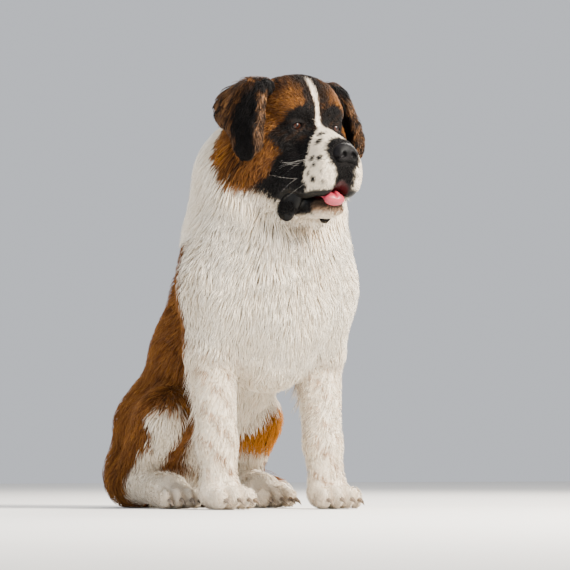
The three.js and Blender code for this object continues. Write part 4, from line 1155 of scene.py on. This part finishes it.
def whiskers():
    points, faces, tips = [], [], []
    for s in sides.values():
        for _ in range(whiskerLook['perSide']):
            root = np.array([[s * 46, -145 + 30 * dice.random(), -70 - 55 * dice.random()]])
            for _ in range(6):
                distance, out = headGrid.look(root)
                root = root - out * distance[:, None]
            length = whiskerLook['length'] * (0.6 + 0.7 * dice.random())
            way = unit(out[0] * 0.55 + np.array([s * 0.1, 0.75, -0.25 + 0.9 * (dice.random() - 0.5)]))
            bend = np.array([0, 0.1, -0.9 + 1.9 * dice.random()])
            t = np.linspace(0, 1, whiskerLook['rows'])[:, None]
            line = root - out + length * (t * way + 0.75 * t ** 2 * bend)
            across = unit(np.cross(way, [0.3, 0.2, 1]))
            up = np.cross(across, way)
            angles = 2 * np.pi * np.arange(whiskerLook['sides']) / whiskerLook['sides']
            circle = np.cos(angles)[:, None] * across + np.sin(angles)[:, None] * up
            thick = whiskerLook['radius'] * (1 - whiskerLook['taper'] * t)
            rings = line[:, None] + thick[:, None] * circle[None]
            start = sum(len(p) for p in points)
            points.append(rings.reshape(-1, 3))
            tips.append(np.repeat(t.ravel(), whiskerLook['sides']))
            n = whiskerLook['sides']
            for i in range(whiskerLook['rows'] - 1):
                for j in range(n):
                    a, b = start + i * n + j, start + i * n + (j + 1) % n
                    faces.append((a, b, b + n, a + n))
            end = start + (whiskerLook['rows'] - 1) * n
            faces += [(start + 3, start + 2, start + 1, start), (end, end + 1, end + 2, end + 3)]
    return np.concatenate(points), np.array(faces), np.concatenate(tips)


whiskerPoints, whiskerFaces, whiskerTips = whiskers()
pieceOf('whiskers', fromHead(whiskerPoints), whiskerFaces, whiskerMaterial(),
        {'tip': whiskerTips})

# Claws keep their own solids and get a horn finish
clawPaint = clawMaterial()
for name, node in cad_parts.items():
    if name.startswith('claw_'):
        node.data.materials.clear()
        node.data.materials.append(clawPaint)

# Floor, light and camera
stageLook = {'floor': rgb(226, 224, 220), 'sky': (0.84, 0.87, 0.93), 'skyStrength': 0.78, 'floorSize': 14}


def floorMaterial():
    board = shaderBoard('pale_floor')
    grain = board.noise(3, 2)
    return board.set(baseColor=board.times(stageLook['floor'], 0.97 + 0.05 * grain), roughness=0.75)


def placed(name, data):
    thing = bpy.data.objects.new(name, data)
    bpy.context.collection.objects.link(thing)
    return thing


def aimed(thing, place, aim):
    thing.location = place
    thing.rotation_euler = (Vector(aim) - Vector(place)).to_track_quat('-Z', 'Y').to_euler()


half = stageLook['floorSize'] / 2
corners = [(-half, -half, 0), (half, -half, 0), (half, half, 0), (-half, half, 0)]
floorMesh = bpy.data.meshes.new('floor')
floorMesh.from_pydata(corners, [], [(0, 1, 2, 3)])
floorMesh.materials.append(floorMaterial())
floor = placed('floor', floorMesh)

world = bpy.data.worlds.new('pale_room')
bpy.context.scene.world = world
world.use_nodes = True
background = world.node_tree.nodes['Background']
background.inputs[0].default_value = (*stageLook['sky'], 1)
background.inputs[1].default_value = stageLook['skyStrength']

viewRight, viewAhead = np.array([0.866, -0.5, 0]), np.array([0.5, 0.866, 0])
up = np.array([0, 0, 1.0])
lamps = {'key': (2.6 * viewRight - 2.0 * viewAhead + 2.9 * up, 1.3, 860, (1.0, 0.94, 0.85)),
         'fill': (-2.8 * viewRight - 2.2 * viewAhead + 1.5 * up, 2.4, 70, (0.82, 0.9, 1.0)),
         'rim': (1.2 * viewRight + 2.4 * viewAhead + 2.6 * up, 1.4, 160, (1.0, 0.93, 0.84))}
for name, (place, size, power, colour) in lamps.items():
    lamp = bpy.data.lights.new(name, 'AREA')
    lamp.size, lamp.energy, lamp.color = size, power, colour
    aimed(placed(name, lamp), place, (0, 0, 0.5))

cameraLook = {'place': (-3.533, -6.021, 0.100), 'aim': (0.0714, -0.0193, 0.4716), 'lens': 209.0}
camera = placed('camera', bpy.data.cameras.new('camera'))
camera.data.lens, camera.data.sensor_width = cameraLook['lens'], 36
aimed(camera, cameraLook['place'], cameraLook['aim'])
bpy.context.scene.camera = camera
